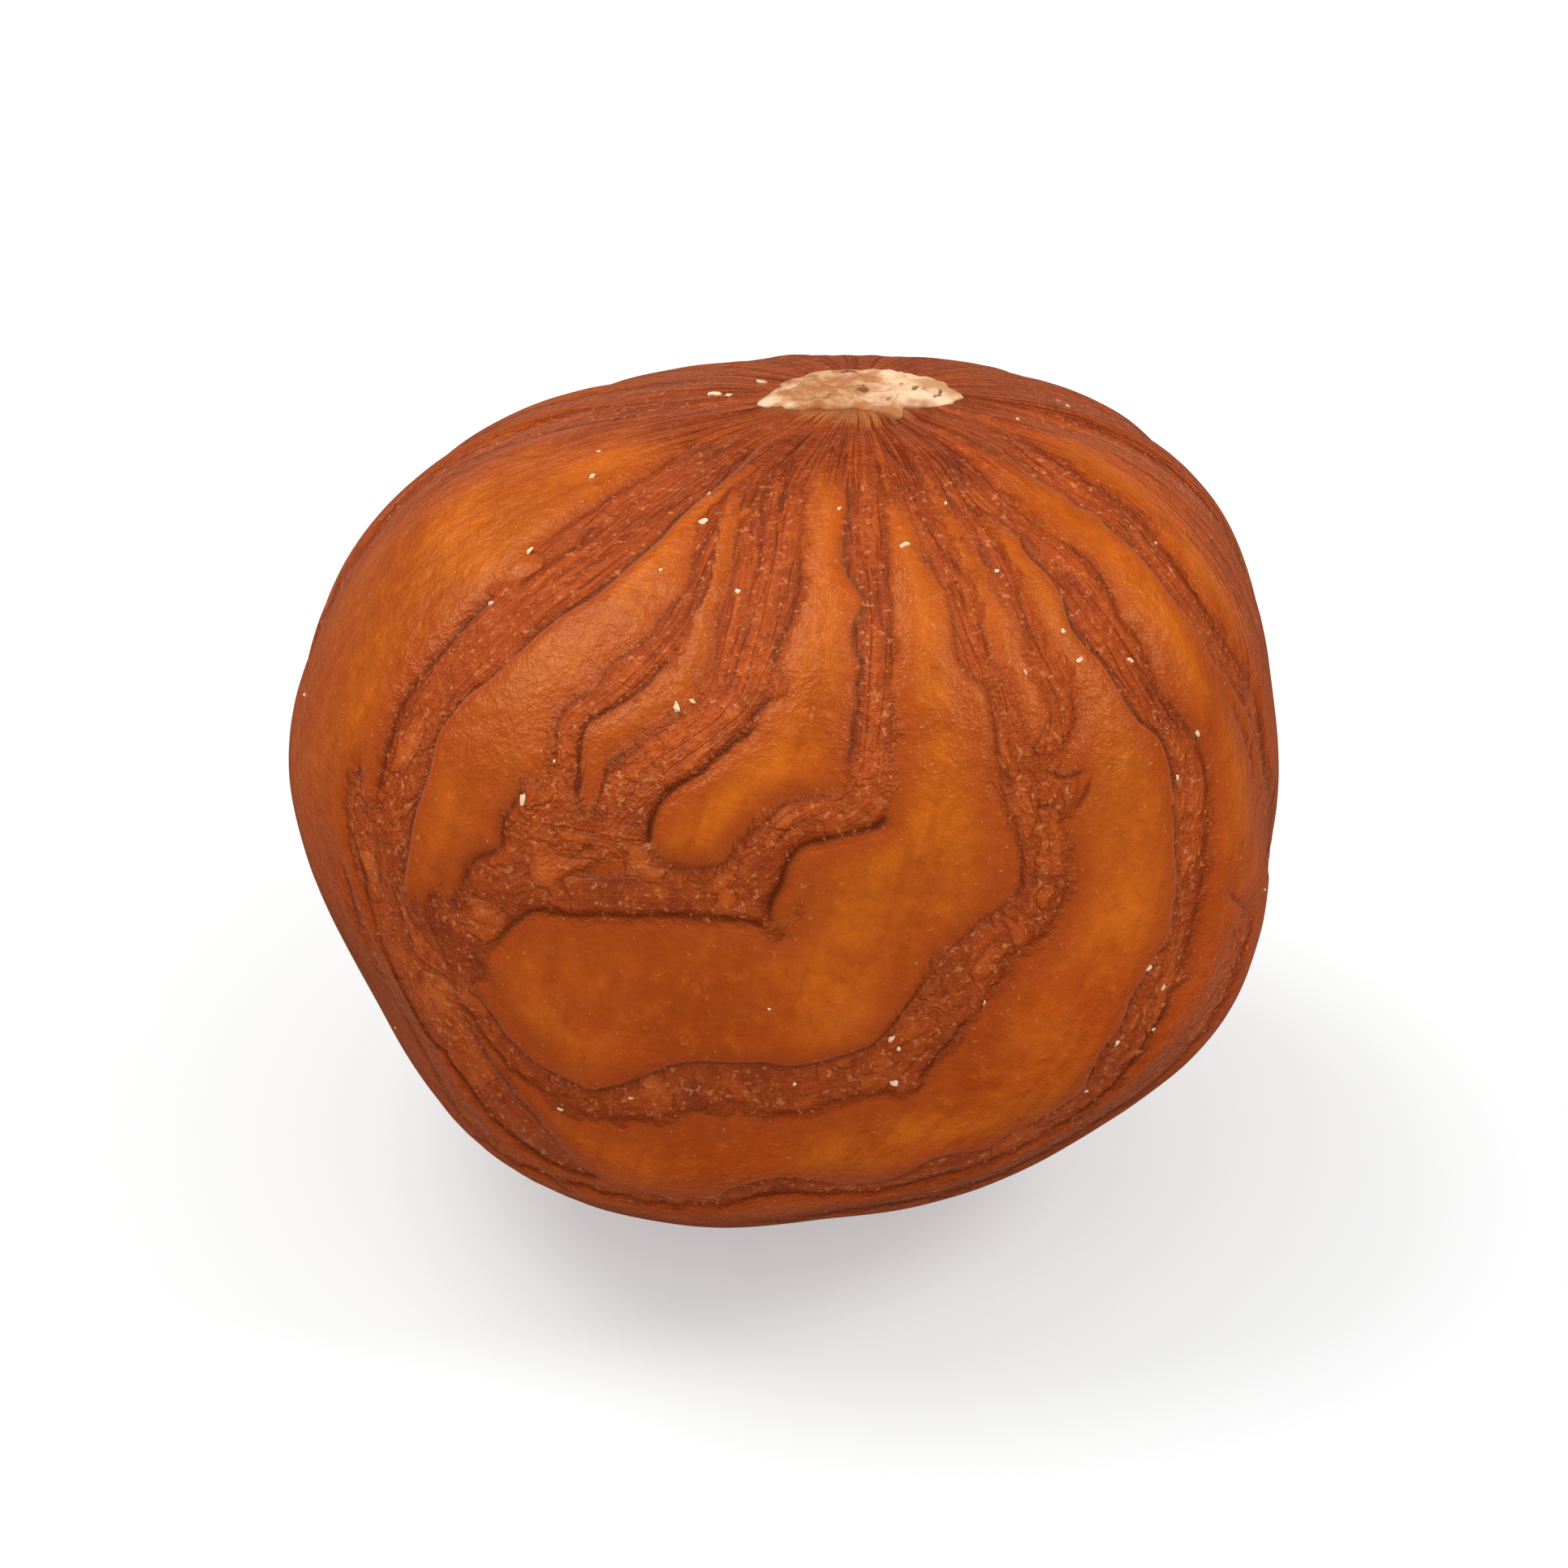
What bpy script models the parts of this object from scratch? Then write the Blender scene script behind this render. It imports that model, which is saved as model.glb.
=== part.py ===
"""A shelled hazelnut kernel in its brown skin, resting on its blunt end with its tip and pale scar on top.

The kernel is one solid. Its smooth body is a rounded ball that reaches a different way out to each side.
Furrows and vein bands run down it from the tip and sink in between plump ridges, by one formula.
"""

import math

import bmesh
import bpy
import numpy as np

MM = 0.001

# Smooth body: how far it reaches from its middle, and how square its corners are (2 is an ellipsoid)
REACH_LEFT = 7.10 * MM
REACH_RIGHT = 8.32 * MM
REACH_FRONT = 7.20 * MM
REACH_BACK = 7.20 * MM
REACH_UP = 5.36 * MM
REACH_DOWN = 7.64 * MM
SQUARENESS = 2.36

# The body's own upright leans to one side and backwards
LEAN_RIGHT = math.radians(-7.6)
LEAN_BACK = math.radians(12.0)

# The tip, where the scar sits, as an angle to the right and backwards from straight up
TIP_RIGHT = math.radians(16.3)
TIP_BACK = math.radians(19.5)

# The near side is drawn as seen from in front and above. Its middle lies beside the body's middle
SEEN_FROM_ABOVE = math.radians(36.0)
SEEN_RIGHT_OF_BODY = 0.46 * MM
SEEN_ABOVE_BODY = -0.91 * MM

# A seen point is looked for along the line of sight, between these places before and behind the middle
SIGHT_NEAR = 9.0 * MM
SIGHT_FAR = -4.0 * MM
SIGHT_STEPS = 1301

# Mesh: cells along each edge of the cube that is blown up into the body
CELLS = 30

# The lowest part of the body is flattened by this much, and rests on that spot
FLAT_DEPTH = 0.15 * MM

# Scar at the tip: a low oval plate
SCAR_HALF_WIDTH = 1.60 * MM
SCAR_HALF_DEPTH = 1.45 * MM
SCAR_RISE = 0.12 * MM
SCAR_EDGE_STEEPNESS = 4.0

# Vein bands: how wide the valley is for its band, the steepness of its walls, and the narrowest one
VALLEY_WIDTH = 1.25
VALLEY_STEEPNESS = 2.6
NARROWEST_HALF_BAND = 0.34 * MM

# Veins are flush with the skin at the scar, and have their full depth this far from its middle
VEINS_START = 1.4 * MM
VEINS_FULL = 3.6 * MM
STEPS_PER_SPAN = 4

# Veins of the near side: depth, then points in millimetres right of and above the middle of the view,
# each with half the band's width there
NEAR_VEINS = {
    "crown furrow": (0.22, [
        (-0.7, 6.1, 0.30), (-1.9, 5.95, 0.40), (-3.1, 5.6, 0.40), (-4.2, 5.1, 0.35), (-5.3, 4.72, 0.38),
        (-6.2, 4.15, 0.35), (-6.8, 3.4, 0.34)]),
    "left furrow": (0.50, [
        (-0.75, 5.6, 0.30), (-1.35, 5.1, 0.42), (-2.2, 4.4, 0.50), (-3.05, 3.65, 0.55), (-3.95, 2.95, 0.52),
        (-4.75, 2.25, 0.50), (-5.4, 1.6, 0.50), (-5.85, 0.9, 0.48), (-6.1, 0.2, 0.48), (-6.25, -0.6, 0.50),
        (-6.3, -1.4, 0.60), (-6.3, -2.2, 0.75), (-6.1, -3.0, 0.75), (-5.7, -3.8, 0.60)]),
    "thin left vein": (0.20, [
        (-0.5, 5.4, 0.30), (-0.85, 4.5, 0.28), (-1.2, 3.6, 0.25), (-1.7, 2.55, 0.28), (-2.55, 1.65, 0.28),
        (-3.35, 0.95, 0.22), (-3.4, 0.2, 0.25), (-3.7, -0.5, 0.50), (-4.3, -1.1, 0.45), (-5.0, -1.7, 0.40)]),
    "middle vein": (0.34, [
        (0.15, 5.3, 0.35), (-0.1, 4.4, 0.45), (-0.15, 3.6, 0.52), (-0.3, 2.8, 0.55), (-0.5, 2.1, 0.50),
        (-0.75, 1.4, 0.48), (-1.3, 0.85, 0.45), (-1.95, 0.4, 0.50), (-2.5, -0.1, 0.55), (-3.0, -0.6, 0.55),
        (-3.7, -1.1, 0.50), (-4.6, -1.6, 0.45)]),
    "hooked vein": (0.34, [
        (1.3, 5.2, 0.30), (1.35, 4.3, 0.33), (1.4, 3.3, 0.30), (1.48, 2.4, 0.28), (1.45, 1.5, 0.28),
        (1.40, 0.7, 0.32), (1.25, 0.0, 0.38), (0.8, -0.4, 0.35), (0.2, -0.7, 0.34), (-0.2, -1.15, 0.40),
        (-0.6, -1.55, 0.38), (-1.3, -1.72, 0.34)]),
    "cross vein": (0.36, [
        (-5.3, -2.1, 0.45), (-4.6, -1.9, 0.40), (-3.8, -1.7, 0.34), (-2.8, -1.7, 0.34), (-1.8, -1.72, 0.34),
        (-0.9, -1.8, 0.34), (-0.2, -1.95, 0.30)]),
    "long loop": (0.40, [
        (1.65, 5.4, 0.30), (2.0, 4.8, 0.32), (2.4, 3.9, 0.28), (2.75, 3.0, 0.27), (3.0, 2.2, 0.27),
        (3.35, 1.3, 0.30), (3.5, 0.6, 0.32), (3.75, -0.1, 0.38), (4.05, -0.8, 0.43), (4.07, -1.5, 0.46),
        (3.7, -2.2, 0.48), (3.05, -2.85, 0.50), (2.5, -3.5, 0.52), (1.95, -4.25, 0.52), (1.2, -4.7, 0.46),
        (0.3, -4.8, 0.42), (-0.7, -4.8, 0.42), (-1.7, -4.9, 0.42), (-2.6, -5.05, 0.36), (-3.4, -4.85, 0.32),
        (-4.1, -4.3, 0.32), (-4.7, -3.6, 0.34), (-5.0, -2.9, 0.40), (-5.2, -2.2, 0.45)]),
    "short vein": (0.26, [
        (2.3, 5.3, 0.28), (2.8, 4.6, 0.28), (3.3, 3.7, 0.27), (3.75, 2.8, 0.25), (4.1, 2.0, 0.25),
        (4.45, 1.3, 0.27), (4.45, 0.7, 0.35), (4.3, 0.1, 0.40), (4.1, -0.5, 0.40)]),
    "right furrow": (0.44, [
        (2.3, 5.7, 0.30), (2.9, 5.0, 0.36), (3.5, 4.4, 0.40), (4.2, 3.75, 0.42), (4.75, 3.1, 0.40),
        (5.2, 2.5, 0.38), (5.6, 1.9, 0.36), (6.0, 1.3, 0.36), (6.4, 0.7, 0.38), (6.55, 0.1, 0.38),
        (6.52, -0.6, 0.36), (6.45, -1.4, 0.34), (6.38, -2.0, 0.33), (6.15, -2.8, 0.36), (5.85, -3.5, 0.40),
        (5.45, -4.2, 0.42), (4.95, -4.85, 0.42), (4.3, -5.4, 0.38), (3.4, -5.9, 0.36), (2.4, -6.2, 0.36),
        (1.3, -6.4, 0.36), (0.2, -6.4, 0.36), (-0.6, -6.5, 0.36), (-1.6, -6.62, 0.36), (-2.7, -6.5, 0.36),
        (-3.6, -6.2, 0.36), (-4.4, -5.85, 0.36), (-5.1, -5.3, 0.40)]),
    "right edge furrow": (0.34, [
        (3.0, 6.1, 0.30), (3.7, 5.5, 0.36), (4.6, 4.85, 0.40), (5.4, 4.35, 0.42), (6.05, 3.55, 0.42),
        (6.6, 2.75, 0.42), (7.05, 2.0, 0.45), (7.4, 1.4, 0.50), (7.6, 0.7, 0.50), (7.72, -0.1, 0.45),
        (7.8, -1.0, 0.45)]),
}

# Veins of the far side: depth, then points in degrees round the tip (0 in front, 90 at the right) and
# degrees down from the tip, each with half the band's width in millimetres
FAR_VEINS = {
    "left end": (0.30, [(-72, 98, 0.60), (-66, 118, 0.55), (-52, 138, 0.50), (-25, 154, 0.40)]),
    "left heel": (0.36, [(-58, 104, 0.75), (-48, 122, 0.60), (-30, 140, 0.50), (-5, 152, 0.40)]),
    "right end": (0.30, [(66, 92, 0.45), (62, 112, 0.50), (54, 132, 0.48), (30, 152, 0.40)]),
    "side furrow": (0.38, [
        (-112, 14, 0.35), (-108, 34, 0.45), (-104, 60, 0.55), (-100, 86, 0.60), (-98, 112, 0.50),
        (-104, 136, 0.42), (-125, 154, 0.35)]),
    "back left loop": (0.34, [
        (-128, 16, 0.30), (-124, 38, 0.34), (-120, 64, 0.38), (-121, 88, 0.42), (-132, 108, 0.45),
        (-148, 112, 0.42), (-160, 94, 0.38), (-163, 68, 0.36), (-162, 40, 0.32), (-160, 18, 0.30)]),
    "back left vein": (0.26, [(-143, 18, 0.28), (-141, 42, 0.30), (-140, 66, 0.30), (-143, 88, 0.35)]),
    "back furrow": (0.44, [
        (180, 14, 0.35), (178, 36, 0.46), (176, 62, 0.55), (178, 88, 0.55), (184, 112, 0.50),
        (192, 136, 0.42), (200, 156, 0.35)]),
    "back right loop": (0.34, [
        (104, 16, 0.30), (108, 38, 0.36), (112, 62, 0.40), (113, 86, 0.42), (122, 106, 0.46),
        (138, 114, 0.44), (152, 102, 0.42), (158, 78, 0.38), (160, 50, 0.34), (162, 22, 0.30)]),
    "back right vein": (0.28, [
        (132, 18, 0.28), (134, 40, 0.32), (130, 62, 0.32), (136, 82, 0.34), (134, 98, 0.38)]),
    "right side furrow": (0.40, [
        (86, 15, 0.35), (88, 34, 0.42), (90, 58, 0.50), (88, 84, 0.52), (86, 108, 0.50),
        (92, 132, 0.42), (110, 152, 0.35)]),
}

# Gentle swellings, and hollows where the height is below zero: height and half width in millimetres,
# and where they are seen on the near side
NEAR_SWELLINGS = [
    (0.30, 2.2, -7.6, 0.2),
    (-0.30, 1.5, -6.4, -3.7),
    (0.24, 2.0, 6.9, -3.6),
    (0.20, 1.8, -5.4, 4.4),
]

# The heel brings the lowest part of the body under its weight. Its middle lies this far from the body's
HEEL_HEIGHT = 0.26 * MM
HEEL_HALF_WIDTH = 3.0 * MM
HEEL_RIGHT = 2.2 * MM
HEEL_BACK = -1.8 * MM

SKIN_COLOUR = (0.50, 0.17, 0.035, 1.0)
SKIN_ROUGHNESS = 0.42
SCAR_COLOUR = (0.80, 0.62, 0.38, 1.0)
SCAR_ROUGHNESS = 0.85


def clear_scene():
    for item in list(bpy.data.objects):
        bpy.data.objects.remove(item, do_unlink=True)


def leaning(right, back):
    """The turn that leans upright to the right and then backwards."""
    sideways = np.array([
        [math.cos(right), 0.0, math.sin(right)],
        [0.0, 1.0, 0.0],
        [-math.sin(right), 0.0, math.cos(right)],
    ])
    backwards = np.array([
        [1.0, 0.0, 0.0],
        [0.0, math.cos(back), math.sin(back)],
        [0.0, -math.sin(back), math.cos(back)],
    ])
    return backwards @ sideways


def unit(vectors):
    return vectors / np.linalg.norm(vectors, axis=-1, keepdims=True)


def smooth_radius(directions):
    """How far the smooth body reaches from its middle in each direction."""
    own = directions @ leaning(LEAN_RIGHT, LEAN_BACK)
    reach = np.stack([
        np.where(own[:, 0] > 0, REACH_RIGHT, REACH_LEFT),
        np.where(own[:, 1] > 0, REACH_BACK, REACH_FRONT),
        np.where(own[:, 2] > 0, REACH_UP, REACH_DOWN),
    ], axis=1)
    return np.sum(np.abs(own / reach) ** SQUARENESS, axis=1) ** (-1.0 / SQUARENESS)


def on_body(directions):
    return directions * smooth_radius(directions)[:, None]


def seen(across, up):
    """Points of the smooth body that are seen at these places of the view, in millimetres."""
    to_eye = np.array([0.0, -math.cos(SEEN_FROM_ABOVE), math.sin(SEEN_FROM_ABOVE)])
    view_up = np.array([0.0, math.sin(SEEN_FROM_ABOVE), math.cos(SEEN_FROM_ABOVE)])
    view_right = np.array([1.0, 0.0, 0.0])
    flat = np.outer(np.asarray(across) * MM + SEEN_RIGHT_OF_BODY, view_right)
    flat = flat + np.outer(np.asarray(up) * MM + SEEN_ABOVE_BODY, view_up)
    found = []
    for start in flat:
        line = start + np.outer(np.linspace(SIGHT_NEAR, SIGHT_FAR, SIGHT_STEPS), to_eye)
        outside = np.linalg.norm(line, axis=1) - smooth_radius(unit(line))
        inside = np.nonzero(outside <= 0.0)[0]
        chosen = inside[0] if len(inside) else int(np.argmin(outside))
        found.append(line[chosen])
    return on_body(unit(np.array(found)))


def tip_frame():
    """The tip's direction, and the directions to the front and to the right square to it."""
    tip = leaning(TIP_RIGHT, TIP_BACK) @ np.array([0.0, 0.0, 1.0])
    front = np.array([0.0, -1.0, 0.0])
    front = unit(front - tip * np.dot(front, tip))
    return tip, front, np.cross(tip, front)


def around(turn, down):
    """Points of the smooth body at angles round the tip and down from it, in degrees."""
    tip, front, right = tip_frame()
    turn = np.radians(turn)[:, None]
    down = np.radians(down)[:, None]
    level = front * np.cos(turn) + right * np.sin(turn)
    return on_body(tip * np.cos(down) + level * np.sin(down))


def smooth_path(points):
    """A curve through the points, with a few steps to each span."""
    ends = np.vstack([2 * points[0] - points[1], points, 2 * points[-1] - points[-2]])
    steps = np.arange(STEPS_PER_SPAN)[:, None] / STEPS_PER_SPAN
    spans = []
    for before, start, stop, after in zip(ends, ends[1:], ends[2:], ends[3:]):
        bend = 2 * before - 5 * start + 4 * stop - after
        twist = 3 * start - before - 3 * stop + after
        spans.append(start + 0.5 * (stop - before) * steps + 0.5 * bend * steps**2 + 0.5 * twist * steps**3)
    return np.vstack(spans + [points[-1:]])


def vein_paths():
    """Every vein as its depth and a path of points with the band's half width as a fourth number."""
    paths = []
    for veins, place in ((NEAR_VEINS, seen), (FAR_VEINS, around)):
        for depth, points in veins.values():
            first, second, half = np.array(points, dtype=float).T
            half = np.maximum(half * MM, NARROWEST_HALF_BAND)
            paths.append((depth * MM, smooth_path(np.column_stack([place(first, second), half]))))
    return paths


def nearest_on_path(points, path):
    """Distance of each point to the path, and the band's half width at that place."""
    distance = np.full(len(points), np.inf)
    half_width = np.zeros(len(points))
    for start, stop in zip(path, path[1:]):
        along = stop[:3] - start[:3]
        part = np.clip((points - start[:3]) @ along / np.dot(along, along), 0.0, 1.0)
        gap = np.linalg.norm(points - start[:3] - part[:, None] * along, axis=1)
        closer = gap < distance
        distance[closer] = gap[closer]
        half_width[closer] = (start[3] + part * (stop[3] - start[3]))[closer]
    return distance, half_width


def scar_middle():
    tip, _, _ = tip_frame()
    return on_body(tip[None, :])[0]


def vein_depth(points):
    """How far the skin sinks under the smooth body at each point, for the deepest vein there."""
    from_scar = np.linalg.norm(points - scar_middle(), axis=1)
    below_tip = np.clip((from_scar - VEINS_START) / (VEINS_FULL - VEINS_START), 0.0, 1.0)
    deepest = np.zeros(len(points))
    for depth, path in vein_paths():
        distance, half_width = nearest_on_path(points, path)
        valley = np.exp(-((distance / (VALLEY_WIDTH * half_width)) ** VALLEY_STEEPNESS))
        deepest = np.maximum(deepest, depth * valley)
    return deepest * below_tip


def swelling(points):
    heel = on_body(unit(np.array([[HEEL_RIGHT, HEEL_BACK, -REACH_DOWN]])))[0]
    bumps = [(HEEL_HEIGHT, HEEL_HALF_WIDTH, heel)]
    for height, half, across, up in NEAR_SWELLINGS:
        bumps.append((height * MM, half * MM, seen([across], [up])[0]))
    total = np.zeros(len(points))
    for height, half, middle in bumps:
        distance = np.linalg.norm(points - middle, axis=1)
        total += height * np.exp(-((distance / half) ** 2))
    return total


def scar_share(points):
    """1 at the middle of the scar, 0 at its edge and less outside it."""
    tip, front, right = tip_frame()
    sideways = (points - scar_middle()) @ right / SCAR_HALF_WIDTH
    forwards = (points - scar_middle()) @ front / SCAR_HALF_DEPTH
    behind = (points @ tip) < 0.0
    return np.where(behind, -1.0, 1.0 - np.hypot(sideways, forwards))


def skin_points(directions):
    """The skin's points for these directions from the body's middle, before the flat spot is pressed."""
    smooth = on_body(directions)
    scar = np.clip(scar_share(smooth) * SCAR_EDGE_STEEPNESS, 0.0, 1.0)
    rise = swelling(smooth) - vein_depth(smooth) * (1.0 - scar) + SCAR_RISE * scar
    return smooth + directions * rise[:, None]


def rest_on_floor(points):
    """Presses the flat spot, and puts the bottom middle of the box at the origin."""
    level = points[:, 2].min() + FLAT_DEPTH
    points[:, 2] = np.maximum(points[:, 2], level)
    low, high = points.min(axis=0), points.max(axis=0)
    return points - [(low[0] + high[0]) / 2, (low[1] + high[1]) / 2, level]


def ball_mesh():
    """A cube cut into even cells, whose corners give even directions all round."""
    mesh = bmesh.new()
    bmesh.ops.create_cube(mesh, size=2.0)
    bmesh.ops.subdivide_edges(mesh, edges=mesh.edges[:], cuts=CELLS - 1, use_grid_fill=True)
    return mesh


def skin_material(name, colour, roughness):
    material = bpy.data.materials.new(name)
    material.use_nodes = True
    shader = material.node_tree.nodes["Principled BSDF"]
    shader.inputs["Base Color"].default_value = colour
    shader.inputs["Roughness"].default_value = roughness
    shader.inputs["Metallic"].default_value = 0.0
    return material


def split_cells(ball, directions, points):
    """Cuts each cell along the diagonal whose middle lies nearer to the true skin."""
    cells = list(ball.faces)
    corners = np.array([[corner.index for corner in cell.verts] for cell in cells])
    true_middles = skin_points(unit(directions[corners].mean(axis=1)))
    first_gap = np.linalg.norm(points[corners[:, [0, 2]]].mean(axis=1) - true_middles, axis=1)
    second_gap = np.linalg.norm(points[corners[:, [1, 3]]].mean(axis=1) - true_middles, axis=1)
    for cell, first, second in zip(cells, first_gap, second_gap):
        start = 0 if first < second else 1
        bmesh.utils.face_split(cell, cell.verts[start], cell.verts[start + 2])


def build_kernel():
    ball = ball_mesh()
    ball.verts.index_update()
    directions = unit(np.tan(np.array([corner.co[:] for corner in ball.verts]) * math.pi / 4.0))
    points = skin_points(directions)
    split_cells(ball, directions, points)
    on_scar = scar_share(on_body(directions)) > 0.0
    for corner, point in zip(ball.verts, rest_on_floor(points)):
        corner.co = point
    for face in ball.faces:
        face.smooth = True
        face.material_index = int(all(on_scar[corner.index] for corner in face.verts))
    mesh = bpy.data.meshes.new("kernel")
    ball.to_mesh(mesh)
    ball.free()
    mesh.materials.append(skin_material("skin", SKIN_COLOUR, SKIN_ROUGHNESS))
    mesh.materials.append(skin_material("scar", SCAR_COLOUR, SCAR_ROUGHNESS))
    kernel = bpy.data.objects.new("kernel", mesh)
    bpy.context.scene.collection.objects.link(kernel)
    return kernel


clear_scene()
build_kernel()
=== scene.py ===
"""The looks of a shelled hazelnut kernel: wrinkled brown skin, a pale scar at the tip, and crumbs.

The skin follows the same body, furrows and vein bands as the solid, with finer creases and wrinkles.
"""

import math

import bpy
import numpy as np
from bpy.props import FloatProperty, FloatVectorProperty, IntProperty, PointerProperty
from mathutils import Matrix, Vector, noise


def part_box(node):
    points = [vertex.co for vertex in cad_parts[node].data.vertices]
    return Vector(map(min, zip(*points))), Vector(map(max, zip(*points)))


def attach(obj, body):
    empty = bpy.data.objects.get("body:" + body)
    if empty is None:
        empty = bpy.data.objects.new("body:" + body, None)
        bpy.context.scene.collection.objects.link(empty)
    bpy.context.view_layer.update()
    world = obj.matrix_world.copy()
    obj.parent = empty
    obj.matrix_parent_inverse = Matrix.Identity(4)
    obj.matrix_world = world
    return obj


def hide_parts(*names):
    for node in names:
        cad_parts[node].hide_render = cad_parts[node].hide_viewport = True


bl_info = {
    "name": "Hazelnut kernel",
    "version": (1, 0, 0),
    "blender": (4, 5, 0),
    "location": "3D View > Sidebar > Kernel",
    "description": "Builds a shelled hazelnut kernel with its skin, scar and crumbs, and a plain stage",
    "category": "Object",
}

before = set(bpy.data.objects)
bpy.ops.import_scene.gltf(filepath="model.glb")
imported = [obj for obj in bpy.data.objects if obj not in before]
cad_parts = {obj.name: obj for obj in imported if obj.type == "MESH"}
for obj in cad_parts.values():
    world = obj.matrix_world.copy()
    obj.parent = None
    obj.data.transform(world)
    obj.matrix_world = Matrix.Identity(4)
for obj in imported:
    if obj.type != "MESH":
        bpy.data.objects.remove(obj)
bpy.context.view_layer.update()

MM = 0.001
KERNEL_LOW, KERNEL_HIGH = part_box("kernel")

# Smooth body: how far it reaches from its middle, and how square its corners are (2 is an ellipsoid)
REACH_LEFT = 7.10 * MM
REACH_RIGHT = 8.32 * MM
REACH_FRONT = 7.20 * MM
REACH_BACK = 7.20 * MM
REACH_UP = 5.36 * MM
REACH_DOWN = 7.64 * MM
SQUARENESS = 2.36
LEAN_RIGHT = math.radians(-7.6)
LEAN_BACK = math.radians(12.0)

# The tip, where the scar sits, as an angle to the right and backwards from straight up
TIP_RIGHT = math.radians(16.3)
TIP_BACK = math.radians(19.5)

# The near side is drawn as seen from in front and above. Its middle lies beside the body's middle
SEEN_FROM_ABOVE = math.radians(36.0)
SEEN_RIGHT_OF_BODY = 0.46 * MM
SEEN_ABOVE_BODY = -0.91 * MM
SIGHT_NEAR = 9.0 * MM
SIGHT_FAR = -4.0 * MM
SIGHT_STEPS = 1301

FLAT_DEPTH = 0.15 * MM
STEPS_PER_SPAN = 6

# How far from a path its band is still felt
PATH_REACH = 2.2 * MM
NO_BAND = -2.0 * MM

# Distance between the grain patterns of two veins, so that no two look alike
GRAIN_SHIFT = 37.0

# Over this distance the depth of one vein passes into that of the next
DEPTH_BLEND = 0.15 * MM

# The strands of a band fade over this distance from the line where it meets another
SEAM_FADE = 0.20 * MM

# A crease fades over this length at its ends
CREASE_FADE = 0.30 * MM

# The edge of a vein band is drawn onto a crease that lies this near, and not past the crease's end
SNAP_NEAR = 0.18 * MM
SNAP_FAR = 0.50 * MM
SNAP_PAST_END = 0.35 * MM

# How far the border of the ribbed regions wanders, and how softly it fades
RIBBED_PATCHINESS = 0.5 * MM
RIBBED_FADE = 0.6 * MM

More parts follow.
